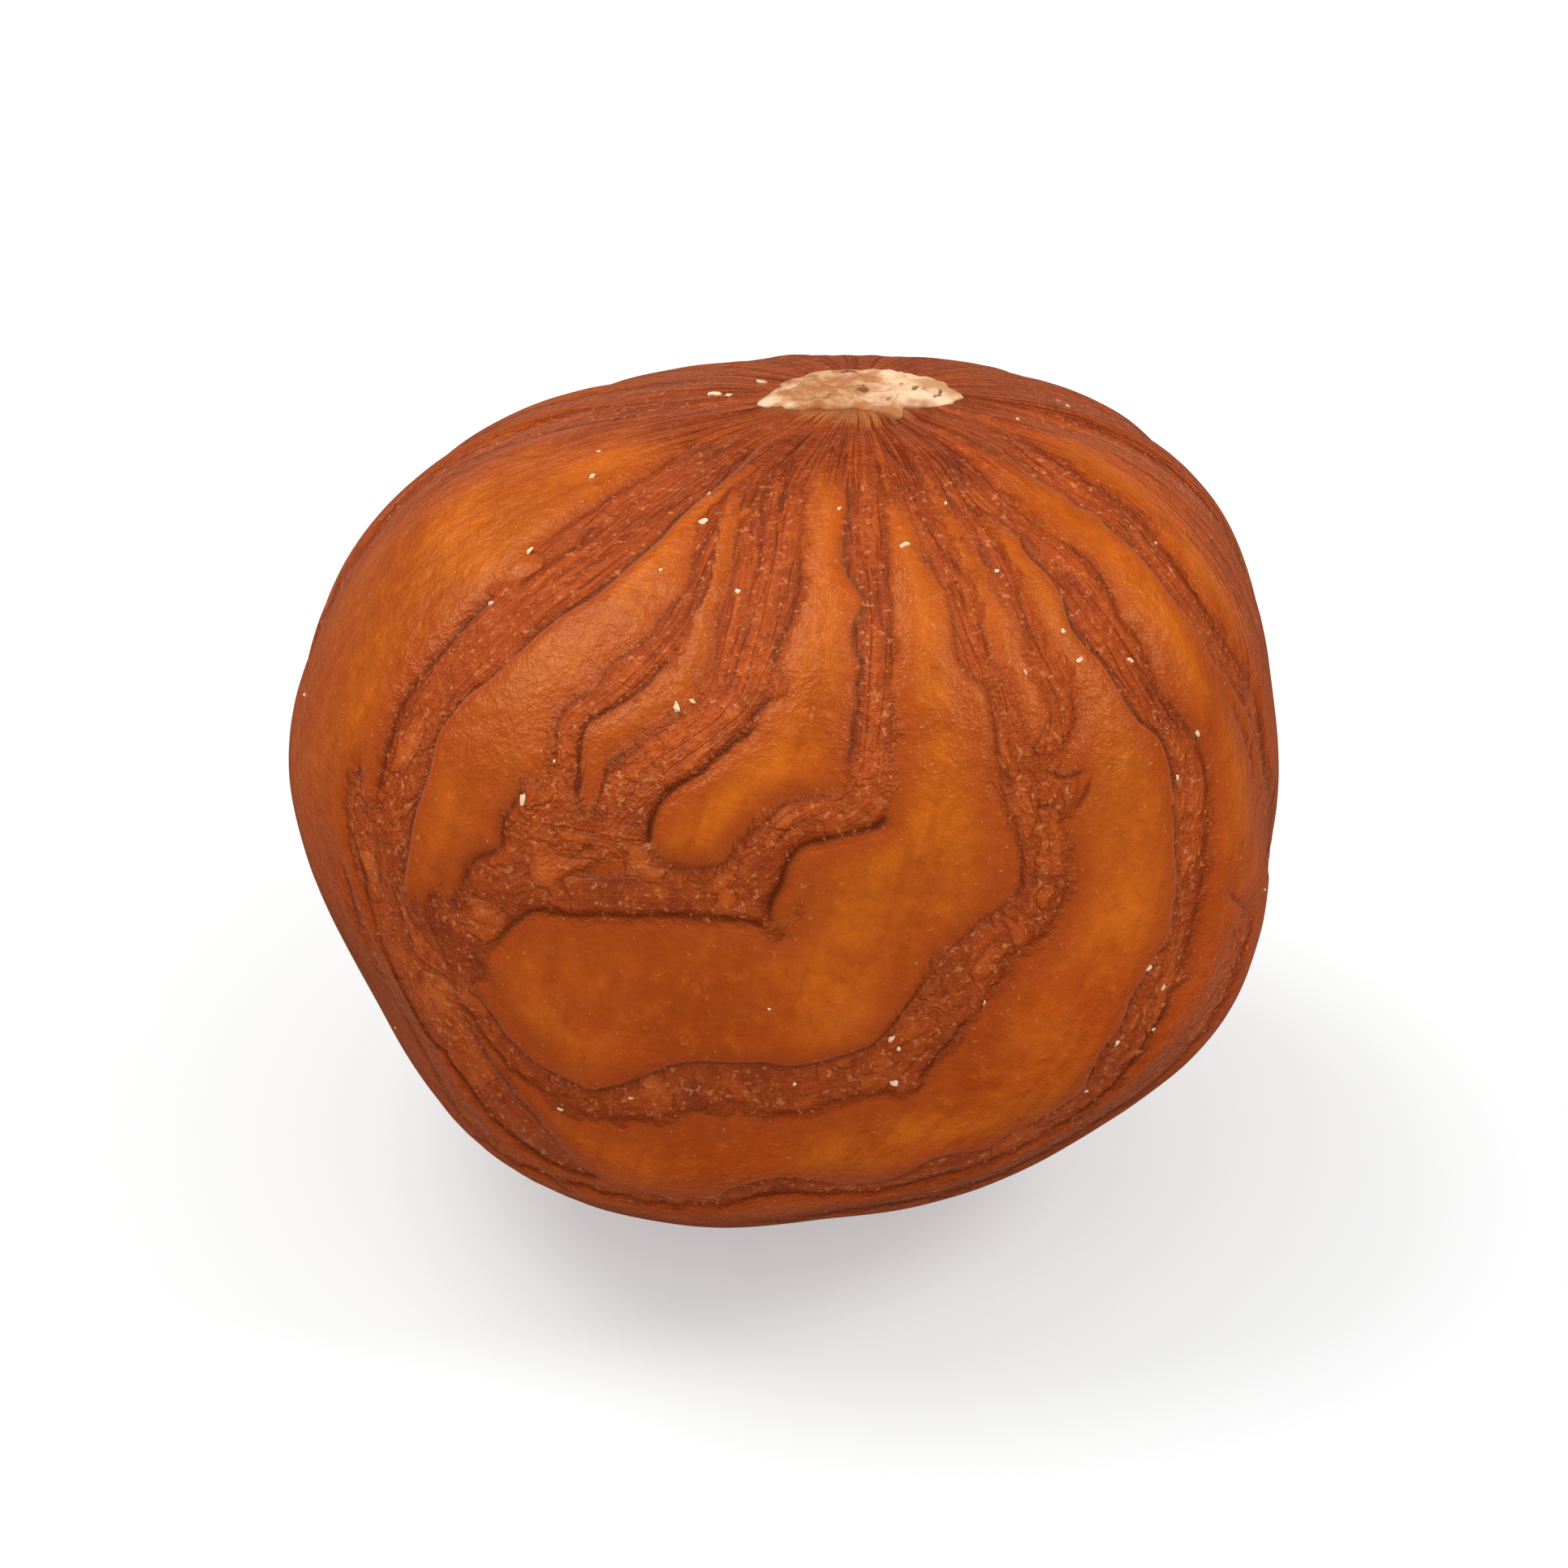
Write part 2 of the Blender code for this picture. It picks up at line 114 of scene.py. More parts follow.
# Veins of the near side: depth, then points in millimetres right of and above the middle of the view,
# each with half the band's width there
NEAR_VEINS = {
    "left furrow": (0.46, [
        (-0.75, 5.6, 0.26), (-1.35, 5.1, 0.38), (-2.2, 4.4, 0.46), (-3.05, 3.65, 0.52), (-3.95, 2.95, 0.50),
        (-4.75, 2.25, 0.50), (-5.4, 1.6, 0.50), (-5.85, 0.9, 0.48), (-6.1, 0.2, 0.50), (-6.25, -0.6, 0.55),
        (-6.3, -1.4, 0.65), (-6.1, -2.2, 0.80), (-5.8, -3.0, 0.80), (-5.5, -3.8, 0.60)]),
    "thin left vein": (0.12, [
        (-0.5, 5.4, 0.24), (-0.85, 4.5, 0.24), (-1.25, 3.6, 0.20), (-1.7, 2.6, 0.24), (-2.55, 1.68, 0.26),
        (-3.35, 0.95, 0.20), (-3.4, 0.2, 0.26), (-3.7, -0.5, 0.50), (-4.3, -1.1, 0.40),
        (-5.0, -1.7, 0.35)]),
    "middle vein": (0.20, [
        (0.15, 5.3, 0.30), (-0.1, 4.4, 0.44), (-0.15, 3.6, 0.50), (-0.3, 2.8, 0.54), (-0.5, 2.1, 0.48),
        (-0.75, 1.4, 0.46), (-1.3, 0.85, 0.42), (-1.95, 0.4, 0.48), (-2.5, -0.1, 0.55), (-3.0, -0.6, 0.55),
        (-3.7, -1.1, 0.50), (-4.6, -1.6, 0.40)]),
    "hooked vein": (0.20, [
        (1.3, 5.2, 0.25), (1.35, 4.3, 0.30), (1.4, 3.3, 0.28), (1.48, 2.4, 0.26), (1.45, 1.5, 0.26),
        (1.40, 0.7, 0.30), (1.25, 0.0, 0.36), (0.8, -0.4, 0.33), (0.2, -0.7, 0.32), (-0.2, -1.15, 0.38),
        (-0.6, -1.55, 0.36), (-1.3, -1.72, 0.34)]),
    "cross vein": (0.22, [
        (-5.3, -2.1, 0.40), (-4.6, -1.9, 0.36), (-3.8, -1.68, 0.30), (-2.8, -1.68, 0.32),
        (-1.8, -1.70, 0.33), (-0.9, -1.76, 0.34), (-0.2, -1.95, 0.30)]),
    "long loop": (0.26, [
        (1.65, 5.4, 0.25), (2.0, 4.8, 0.26), (2.4, 3.9, 0.22), (2.75, 3.0, 0.20), (3.0, 2.2, 0.20),
        (3.35, 1.3, 0.25), (3.5, 0.6, 0.28), (3.75, -0.1, 0.36), (4.05, -0.8, 0.42), (4.07, -1.5, 0.44),
        (3.7, -2.2, 0.46), (3.05, -2.85, 0.48), (2.5, -3.5, 0.50), (1.95, -4.25, 0.50), (1.2, -4.68, 0.42),
        (0.3, -4.8, 0.38), (-0.7, -4.8, 0.38), (-1.7, -4.9, 0.38), (-2.6, -5.05, 0.32), (-3.4, -4.85, 0.26),
        (-4.1, -4.3, 0.26), (-4.7, -3.6, 0.30), (-5.0, -2.9, 0.36), (-5.2, -2.2, 0.40)]),
    "short vein": (0.12, [
        (2.3, 5.3, 0.22), (2.8, 4.6, 0.20), (3.3, 3.7, 0.20), (3.75, 2.8, 0.18), (4.1, 2.0, 0.18),
        (4.45, 1.3, 0.20), (4.45, 0.7, 0.28), (4.3, 0.1, 0.34), (4.1, -0.5, 0.36)]),
    "right furrow": (0.34, [
        (2.3, 5.7, 0.25), (2.9, 5.0, 0.32), (3.5, 4.4, 0.38), (4.2, 3.75, 0.42), (4.75, 3.1, 0.40),
        (5.2, 2.5, 0.38), (5.6, 1.9, 0.36), (6.0, 1.3, 0.36), (6.4, 0.7, 0.38), (6.55, 0.1, 0.38),
        (6.52, -0.6, 0.34), (6.45, -1.4, 0.30), (6.38, -2.0, 0.28), (6.15, -2.8, 0.32), (5.85, -3.5, 0.40),
        (5.45, -4.2, 0.42), (4.95, -4.85, 0.40), (4.3, -5.4, 0.34), (3.4, -5.9, 0.28), (2.4, -6.2, 0.26),
        (1.3, -6.4, 0.24), (0.2, -6.4, 0.24), (-0.6, -6.5, 0.24), (-1.6, -6.62, 0.24), (-2.7, -6.5, 0.24),
        (-3.6, -6.2, 0.26), (-4.4, -5.85, 0.30), (-5.1, -5.3, 0.40)]),
    "right edge furrow": (0.34, [
        (3.0, 6.1, 0.26), (3.7, 5.5, 0.34), (4.6, 4.85, 0.36), (5.4, 4.35, 0.38), (6.05, 3.55, 0.38),
        (6.6, 2.75, 0.40), (7.05, 2.0, 0.42), (7.4, 1.4, 0.46), (7.6, 0.7, 0.45), (7.72, -0.1, 0.40),
        (7.8, -1.0, 0.20)]),
}

# Veins of the far side: depth, then points in degrees round the tip (0 in front, 90 at the right) and
# degrees down from the tip, each with half the band's width in millimetres
FAR_VEINS = {
    "left end": (0.30, [(-66, 114, 0.02), (-60, 126, 0.35), (-52, 138, 0.50), (-25, 154, 0.05)]),
    "left heel": (0.36, [(-58, 104, 0.75), (-48, 122, 0.60), (-30, 140, 0.50), (-5, 152, 0.05)]),
    "right end": (0.30, [(66, 92, 0.40), (62, 112, 0.46), (54, 132, 0.44), (30, 152, 0.05)]),
    "side furrow": (0.38, [
        (-112, 14, 0.30), (-108, 34, 0.42), (-104, 60, 0.52), (-100, 86, 0.58), (-98, 112, 0.48),
        (-104, 136, 0.30), (-125, 154, 0.03)]),
    "back left loop": (0.24, [
        (-128, 16, 0.24), (-124, 38, 0.28), (-120, 64, 0.32), (-121, 88, 0.36), (-132, 108, 0.42),
        (-148, 112, 0.40), (-160, 94, 0.34), (-163, 68, 0.30), (-162, 40, 0.26), (-160, 18, 0.24)]),
    "back left vein": (0.16, [
        (-143, 18, 0.22), (-141, 42, 0.24), (-140, 66, 0.22), (-143, 82, 0.14), (-144, 92, -0.05)]),
    "back furrow": (0.44, [
        (180, 14, 0.30), (178, 36, 0.42), (176, 62, 0.50), (178, 88, 0.50), (184, 112, 0.46),
        (192, 136, 0.30), (200, 156, 0.03)]),
    "back right loop": (0.24, [
        (104, 16, 0.24), (108, 38, 0.30), (112, 62, 0.34), (113, 86, 0.38), (122, 106, 0.44),
        (138, 114, 0.42), (152, 102, 0.36), (158, 78, 0.32), (160, 50, 0.28), (162, 22, 0.24)]),
    "back right vein": (0.18, [
        (132, 18, 0.22), (134, 40, 0.26), (130, 62, 0.24), (136, 82, 0.24), (134, 94, 0.12),
        (131, 104, -0.05)]),
    "right side furrow": (0.40, [
        (86, 15, 0.30), (88, 34, 0.38), (90, 58, 0.46), (88, 84, 0.48), (86, 108, 0.46),
        (92, 132, 0.30), (110, 152, 0.03)]),
}

# Creases of the near side: strength, the side on which a vein band ends at the crease (1 left, -1 right,
# seen along the crease, 0 none), then points in millimetres right of and above the middle of the view
CREASES = [
    (1.0, -1, [
        (-0.35, 5.55), (-0.7, 5.15), (-1.15, 4.75), (-1.35, 4.62), (-1.75, 4.25), (-1.95, 4.02),
        (-2.5, 3.5), (-3.0, 3.05), (-3.5, 2.75), (-4.0, 2.35), (-4.35, 2.0)]),
    (0.7, -1, [
        (-4.35, 2.0), (-4.7, 1.7), (-5.0, 1.5), (-5.3, 1.15), (-5.5, 0.85), (-5.6, 0.4), (-5.72, 0.0),
        (-5.88, -0.5), (-5.95, -1.0), (-6.05, -1.6)]),
    (0.5, 1, [
        (-1.3, 5.6), (-1.7, 5.35), (-2.2, 5.0), (-2.7, 4.7), (-3.1, 4.4), (-3.5, 4.15), (-3.9, 3.75)]),
    (0.9, 1, [
        (-4.5, 3.15), (-5.0, 2.7), (-5.4, 2.25), (-5.7, 1.9), (-5.95, 1.55), (-6.15, 1.15),
        (-6.27, 0.75), (-6.38, 0.3), (-6.45, -0.2)]),
    (0.6, 0, [(-5.45, 1.95), (-5.8, 1.5), (-6.0, 1.15), (-6.1, 0.85)]),
    (0.6, 1, [
        (-1.35, 3.9), (-1.4, 3.5), (-1.5, 3.1), (-1.75, 2.85), (-1.95, 2.6), (-2.1, 2.35), (-2.45, 2.1),
        (-2.7, 1.95), (-2.85, 1.7), (-2.95, 1.5), (-3.2, 1.4), (-3.4, 1.25), (-3.55, 1.0), (-3.57, 0.6),
        (-3.7, 0.15)]),
    (0.8, -1, [
        (-1.75, 2.0), (-1.95, 1.85), (-2.1, 1.65), (-2.35, 1.45), (-2.6, 1.3), (-2.85, 1.15),
        (-3.05, 1.05), (-3.15, 0.85), (-3.2, 0.5), (-3.2, 0.1), (-3.25, -0.3)]),
    (0.7, 1, [
        (-4.0, 0.05), (-4.25, -0.3), (-4.4, -0.55), (-4.45, -0.95), (-4.85, -1.15), (-5.0, -1.4),
        (-5.1, -1.7)]),
    (0.4, 1, [(-0.65, 4.2), (-0.75, 3.7), (-0.8, 3.2), (-1.0, 2.6), (-1.02, 2.1), (-1.25, 1.5)]),
    (1.0, -1, [
        (0.0, 1.5), (-0.15, 1.42), (-0.3, 1.25), (-0.45, 1.1), (-0.52, 0.85), (-0.75, 0.7),
        (-0.9, 0.55), (-1.1, 0.4), (-1.25, 0.25), (-1.6, 0.05), (-1.9, -0.2), (-2.05, -0.5),
        (-2.1, -0.8), (-2.05, -1.1)]),
    (0.5, 0, [(-0.35, 1.0), (-0.7, 0.9), (-1.0, 0.75), (-1.3, 0.7)]),
    (0.5, 0, [(-1.9, 0.15), (-2.2, 0.05), (-2.45, -0.2), (-2.6, -0.5)]),
    (0.8, 1, [
        (1.02, 4.9), (1.08, 4.5), (1.02, 4.0), (1.0, 3.55), (1.1, 3.3), (1.25, 3.1), (1.32, 2.9),
        (1.22, 2.65), (1.15, 2.4), (1.2, 2.1), (1.28, 1.9), (1.2, 1.6), (1.22, 1.3), (1.15, 1.0),
        (1.12, 0.7), (1.05, 0.4), (1.1, 0.2)]),
    (1.0, -1, [
        (1.62, -0.3), (1.58, -0.58), (1.3, -0.68), (1.0, -0.76), (0.5, -0.88), (0.3, -0.95),
        (0.15, -1.1), (0.05, -1.3), (0.0, -1.5), (-0.1, -1.7), (-0.2, -1.95), (-0.15, -2.25)]),
    (0.4, 1, [
        (0.9, -0.05), (0.6, -0.15), (0.3, -0.2), (0.0, -0.3), (-0.2, -0.5), (-0.6, -0.8), (-0.75, -1.0),
        (-0.9, -1.2), (-1.2, -1.28), (-1.6, -1.3), (-1.95, -1.2)]),
    (0.5, 0, [(0.7, -0.55), (0.3, -0.6), (0.0, -0.75), (-0.1, -0.95)]),
    (0.8, 1, [
        (-4.6, -2.5), (-4.35, -2.25), (-4.1, -2.05), (-3.85, -1.95), (-3.55, -2.0), (-3.2, -2.05),
        (-2.8, -2.02), (-2.4, -2.05), (-2.0, -2.03), (-1.6, -2.05), (-1.2, -2.08), (-0.6, -2.12),
        (-0.35, -2.2), (-0.15, -2.32)]),
    (0.8, 0, [(-2.85, -0.82), (-3.1, -0.95), (-3.3, -1.1), (-3.5, -1.25)]),
    (0.5, 1, [
        (2.6, 3.1), (2.7, 2.7), (2.75, 2.3), (2.8, 2.0), (3.0, 1.75), (3.2, 1.6), (3.3, 1.3),
        (3.35, 1.0), (3.4, 0.6), (3.4, 0.2)]),
    (0.5, 1, [
        (3.4, 0.3), (3.5, -0.1), (3.6, -0.4), (3.75, -0.7), (3.8, -1.1), (3.8, -1.5), (3.65, -1.8),
        (3.4, -2.0), (3.15, -2.15), (2.95, -2.35), (2.7, -2.55), (2.5, -2.7)]),
    (0.6, 1, [
        (2.4, -2.9), (2.05, -3.4), (1.7, -3.85), (1.45, -4.1), (1.2, -4.2), (0.9, -4.3), (0.5, -4.4),
        (0.1, -4.45), (-0.3, -4.4), (-0.8, -4.42), (-1.3, -4.4), (-1.7, -4.45), (-2.1, -4.6),
        (-2.5, -4.75), (-3.0, -4.85), (-3.3, -4.75), (-3.6, -4.6), (-3.9, -4.45), (-4.2, -4.2),
        (-4.45, -3.95), (-4.6, -3.7), (-4.8, -3.45), (-4.88, -3.2)]),
    (0.5, -1, [
        (4.5, -1.0), (4.5, -1.6), (4.3, -2.1), (4.1, -2.4), (3.6, -2.7), (3.5, -3.0), (3.2, -3.35)]),
    (0.5, -1, [
        (2.0, -4.85), (1.6, -4.85), (1.2, -4.9), (0.8, -5.0), (0.4, -5.15), (0.0, -5.2),
        (-0.3, -5.25)]),
    (0.5, 0, [(3.65, 3.3), (3.8, 2.8), (3.9, 2.4), (4.0, 2.0)]),
    (0.6, -1, [(4.5, 1.6), (4.6, 1.3), (4.62, 1.0), (4.45, 0.7), (4.3, 0.5)]),
    (0.9, 0, [(4.1, 0.3), (4.4, 0.15), (4.6, 0.2), (4.87, 0.3)]),
    (0.9, 0, [(4.87, 0.3), (4.8, 0.0), (4.65, -0.3), (4.5, -0.5)]),
    (0.7, 0, [(3.9, -0.35), (4.1, -0.3), (4.3, -0.3), (4.45, -0.5)]),
    (0.7, 0, [(3.4, 0.45), (3.6, 0.15), (3.75, -0.1)]),
    (0.9, 1, [
        (3.75, 4.0), (4.0, 3.65), (4.25, 3.4), (4.45, 3.1), (4.55, 2.8), (4.65, 2.5), (4.85, 2.25),
        (5.05, 2.05), (5.25, 1.75), (5.4, 1.5), (5.55, 1.25), (5.7, 1.05), (5.9, 0.92), (6.05, 0.75),
        (6.15, 0.5), (6.22, 0.2), (6.25, -0.3)]),
    (0.7, -1, [
        (4.4, 3.9), (4.7, 3.75), (5.0, 3.45), (5.2, 3.1), (5.35, 2.7), (5.6, 2.4), (5.75, 2.1),
        (5.95, 1.6), (6.15, 1.35), (6.35, 1.1), (6.5, 0.9), (6.65, 0.6), (6.75, 0.3), (6.78, 0.0),
        (6.75, -0.5)]),
    (0.7, 0, [(5.65, 1.9), (5.8, 1.6), (6.05, 1.2), (6.3, 0.9), (6.45, 0.6)]),
    (0.6, 1, [(6.25, -0.3), (6.25, -0.9), (6.3, -1.5), (6.25, -2.0), (6.2, -2.4)]),
    (1.0, 1, [
        (6.2, -2.4), (6.0, -2.7), (5.8, -3.05), (5.6, -3.4), (5.45, -3.8), (5.2, -4.1), (5.0, -4.45),
        (4.85, -4.8), (4.5, -5.1), (4.1, -5.35), (3.7, -5.55), (3.3, -5.8), (2.9, -5.88), (2.5, -5.95),
        (2.1, -6.15), (1.7, -6.3), (1.2, -6.38), (0.7, -6.35), (0.3, -6.28), (0.0, -6.25), (-0.3, -6.3),
        (-0.7, -6.4), (-1.1, -6.55), (-1.5, -6.58), (-2.0, -6.55), (-2.5, -6.45), (-3.0, -6.4),
        (-3.4, -6.25), (-3.8, -6.15), (-4.1, -6.0), (-4.4, -5.85)]),
    (0.5, -1, [(6.8, -0.2), (6.75, -0.8), (6.7, -1.4), (6.6, -2.0), (6.5, -2.5), (6.4, -3.0)]),
    (0.7, 0, [(1.6, 5.55), (1.75, 5.3), (2.0, 5.1), (2.2, 5.0), (2.25, 4.7)]),
    (0.8, 0, [(2.2, 5.65), (2.5, 5.5), (2.7, 5.35), (2.85, 5.1), (3.0, 4.7)]),
    (0.6, 0, [(2.9, 5.7), (3.15, 5.5), (3.35, 5.35)]),
    (0.9, 1, [
        (3.5, 5.45), (3.8, 5.2), (4.1, 4.95), (4.35, 4.8), (4.6, 4.65), (4.75, 4.5), (5.0, 4.42),
        (5.3, 4.1), (5.6, 3.85), (5.9, 3.5), (6.2, 3.1), (6.45, 2.75), (6.7, 2.4), (6.9, 2.05),
        (7.1, 1.85), (7.3, 1.5), (7.45, 1.25), (7.52, 0.9)]),
    (0.8, 1, [
        (7.52, 1.2), (7.57, 0.8), (7.62, 0.4), (7.66, 0.0), (7.7, -0.4), (7.74, -0.9), (7.73, -1.3)]),
    (1.0, 0, [(7.0, -1.6), (7.12, -1.72), (7.25, -1.84), (7.38, -1.95)]),
    (0.6, 0, [(0.3, 5.6), (0.15, 5.1), (0.02, 4.6), (-0.05, 4.2)]),
    (0.7, 0, [(-1.2, 6.1), (-1.6, 6.0), (-2.2, 5.85), (-2.6, 5.78), (-3.0, 5.66), (-3.3, 5.45)]),
    (0.4, 0, [
        (-3.4, 5.35), (-3.8, 5.2), (-4.2, 5.2), (-4.5, 5.18), (-4.9, 4.98), (-5.3, 4.65), (-5.7, 4.4)]),
]

# Regions that are reddish and finely ribbed all over, drawn as the veins are, with no depth
RIBBED_REGIONS = [
    [
        (3.6, 6.45, 1.1), (5.0, 5.95, 1.5), (6.2, 5.0, 1.6), (7.0, 3.9, 1.4), (7.45, 2.8, 1.1),
        (7.55, 2.1, 0.7)],
    [
        (-1.2, 6.5, 0.9), (-2.4, 6.2, 0.95), (-3.6, 5.8, 0.85), (-4.8, 5.35, 0.65), (-5.8, 4.8, 0.5),
        (-6.6, 4.2, 0.4), (-7.3, 3.0, 0.3), (-7.7, 1.6, 0.3)],
    [
        (-1.6, 6.0, 0.30), (-2.2, 5.85, 0.34), (-3.0, 5.6, 0.34), (-3.55, 5.25, 0.30),
        (-4.05, 5.1, 0.30), (-4.5, 5.12, 0.26), (-4.9, 4.9, 0.26), (-5.5, 4.4, 0.24),
        (-6.2, 4.0, 0.20)],
    [
        (-6.6, -2.2, 1.0), (-6.4, -3.2, 1.5), (-5.8, -4.4, 1.6), (-4.9, -5.5, 1.3), (-3.8, -6.3, 0.9),
        (-2.4, -6.7, 0.4)],
    [
        (7.1, -2.4, 0.5), (6.6, -3.5, 0.8), (5.6, -4.7, 0.9), (4.3, -5.7, 0.8), (2.8, -6.25, 0.55),
        (1.0, -6.6, 0.3), (-1.0, -6.8, 0.3)],
]

# The skin round the scar is reddish and ribbed out to here, measured from the scar's middle
TIP_ZONE = 3.5 * MM
TIP_FADE = 0.9 * MM
RIB_FADE = 6.5 * MM

# Veins are flush with the skin at the scar, and have their full depth this far from its middle
VEINS_START = 1.4 * MM
VEINS_FULL = 3.6 * MM

# Behind the scar they need this much longer, reached this far behind its middle
VEINS_FULL_BEHIND = 3.0 * MM
BEHIND = 1.5 * MM

# Patterns of the skin, the scar and the crumbs: how many of their waves there are to a metre
BRIGHT_CLOUDS = 380.0
DARK_CLOUDS = 420.0
LINE_BREAKS = 330.0
FOLDS = 800.0
BORDER_WAVES = 1500.0
FRAY_WAVES = 1900.0
BROAD_MOTTLES = 2000.0
FINE_MOTTLES = 3400.0
CREASE_WAVES = 3800.0
GRAINS = 4200.0
DUST_AND_GLINT_SPECKS = 8000.0
SCAR_CORK = 1400.0
CRUMB_CORK = 900.0
SCAR_PATCHES = 2400.0
SCAR_GRAINS = 2600.0
SCAR_PITS = 3300.0
STAIN_MOTTLES = 4500.0
FLOOR_WAVES = 3.0

# The floor's clouds are this much paler
FLOOR_CLOUDS = 1.01

# The ridges are brighter from the first to the second height, and deeper from the third down to the fourth:
# partly the skin's own redder base, partly painted shade of the lower side.
# Clouds raise these borders by up to this much
HIGH_RIDGES = (7.0 * MM, 13.0 * MM)
LOW_RIDGES = (6.5 * MM, 1.0 * MM)
CLOUD_RISE = 3.0 * MM

# Pale crumbs that stick to the near side: middle as seen, and width, all in millimetres
CRUMBS = [
    (-1.05, 6.3, 0.26), (-0.85, 6.25, 0.16), (-0.3, 6.5, 0.22), (-3.0, 4.9, 0.17), (-4.0, 3.7, 0.17),
    (-4.65, 2.93, 0.12), (-1.25, 4.2, 0.19), (-1.15, 4.65, 0.13), (-1.65, 1.25, 0.19), (-1.4, 1.35, 0.11),
    (-4.1, -0.2, 0.16), (-7.4, 1.45, 0.12), (1.9, 3.8, 0.23), (4.4, 2.45, 0.11), (3.8, 1.8, 0.14),
    (4.65, 2.0, 0.10), (5.55, 2.0, 0.12), (6.3, 0.15, 0.10), (6.6, 0.85, 0.11), (5.35, -4.1, 0.15),
    (5.8, -2.85, 0.12), (6.1, -3.2, 0.10), (5.9, -3.85, 0.09), (4.45, 6.2, 0.10), (4.6, 6.1, 0.11),
    (3.8, 5.9, 0.10), (-3.5, -5.1, 0.13), (1.75, -4.0, 0.13), (1.85, -4.15, 0.10), (1.8, -4.7, 0.15),
    (-0.2, -3.45, 0.07), (7.6, -1.6, 0.08), (-2.9, 5.3, 0.08), (-0.7, 3.1, 0.09), (0.9, 4.4, 0.09),
    (3.4, 3.4, 0.10), (2.6, 4.5, 0.09), (-2.4, -4.95, 0.09), (0.2, -4.7, 0.09), (-3.6, 0.4, 0.08),
    (3.2, -3.4, 0.08), (-6.6, -4.2, 0.08), (4.9, -4.9, 0.09), (-1.9, 3.4, 0.08), (6.0, 3.9, 0.09),
]

# Gentle swellings of the near side: height, half width, and middle as seen, all in millimetres
NEAR_SWELLINGS = [
    (0.30, 2.2, -7.6, 0.2),
    (-0.30, 1.5, -6.4, -3.7),
    (0.24, 2.0, 6.9, -3.6),
    (0.20, 1.8, -5.4, 4.4),
]

# The heel, a swelling low at the back, by its height, half width and place under the middle
HEEL_HEIGHT = 0.26 * MM
HEEL_HALF_WIDTH = 3.0 * MM
HEEL_RIGHT = 2.2 * MM
HEEL_BACK = -1.8 * MM

# Scar at the tip: its half sizes, and how steep the skin is where it meets it
SCAR_HALF_WIDTH = 1.60 * MM
SCAR_HALF_DEPTH = 1.22 * MM
SCAR_EDGE_STEEPNESS = 4.0

# The scar's front is this much shorter, except at a tooth to the right of its middle, as shares of its size
SCAR_FRONT_CUT = 0.48
SCAR_TOOTH = 0.42
SCAR_TOOTH_HALF_WIDTH = 0.17


def leaning(right, back):
    """The turn that leans upright to the right and then backwards."""
    sideways = np.array([
        [math.cos(right), 0.0, math.sin(right)],
        [0.0, 1.0, 0.0],
        [-math.sin(right), 0.0, math.cos(right)],
    ])
    backwards = np.array([
        [1.0, 0.0, 0.0],
        [0.0, math.cos(back), math.sin(back)],
        [0.0, -math.sin(back), math.cos(back)],
    ])
    return backwards @ sideways


def unit(vectors):
    return vectors / np.linalg.norm(vectors, axis=-1, keepdims=True)


def smoothstep(low, high, values):
    share = np.clip((values - low) / (high - low), 0.0, 1.0)
    return share * share * (3.0 - 2.0 * share)


def smooth_radius(directions):
    """How far the smooth body reaches from its middle in each direction."""
    own = directions @ leaning(LEAN_RIGHT, LEAN_BACK)
    reach = np.stack([
        np.where(own[:, 0] > 0, REACH_RIGHT, REACH_LEFT),
        np.where(own[:, 1] > 0, REACH_BACK, REACH_FRONT),
        np.where(own[:, 2] > 0, REACH_UP, REACH_DOWN),
    ], axis=1)
    return np.sum(np.abs(own / reach) ** SQUARENESS, axis=1) ** (-1.0 / SQUARENESS)


def on_body(directions):
    return directions * smooth_radius(directions)[:, None]


def seen(across, up):
    """Points of the smooth body that are seen at these places of the view, in millimetres."""
    to_eye = np.array([0.0, -math.cos(SEEN_FROM_ABOVE), math.sin(SEEN_FROM_ABOVE)])
    view_up = np.array([0.0, math.sin(SEEN_FROM_ABOVE), math.cos(SEEN_FROM_ABOVE)])
    view_right = np.array([1.0, 0.0, 0.0])
    flat = np.outer(np.asarray(across) * MM + SEEN_RIGHT_OF_BODY, view_right)
    flat = flat + np.outer(np.asarray(up) * MM + SEEN_ABOVE_BODY, view_up)
    found = []
    for start in flat:
        line = start + np.outer(np.linspace(SIGHT_NEAR, SIGHT_FAR, SIGHT_STEPS), to_eye)
        outside = np.linalg.norm(line, axis=1) - smooth_radius(unit(line))
        inside = np.nonzero(outside <= 0.0)[0]
        chosen = inside[0] if len(inside) else int(np.argmin(outside))
        found.append(line[chosen])
    return on_body(unit(np.array(found)))


def tip_frame():
    """The tip's direction, and the directions to the front and to the right square to it."""
    tip = leaning(TIP_RIGHT, TIP_BACK) @ np.array([0.0, 0.0, 1.0])
    front = np.array([0.0, -1.0, 0.0])
    front = unit(front - tip * np.dot(front, tip))
    return tip, front, np.cross(tip, front)


def around(turn, down):
    """Points of the smooth body at angles round the tip and down from it, in degrees."""
    tip, front, right = tip_frame()
    turn = np.radians(turn)[:, None]
    down = np.radians(down)[:, None]
    level = front * np.cos(turn) + right * np.sin(turn)
    return on_body(tip * np.cos(down) + level * np.sin(down))


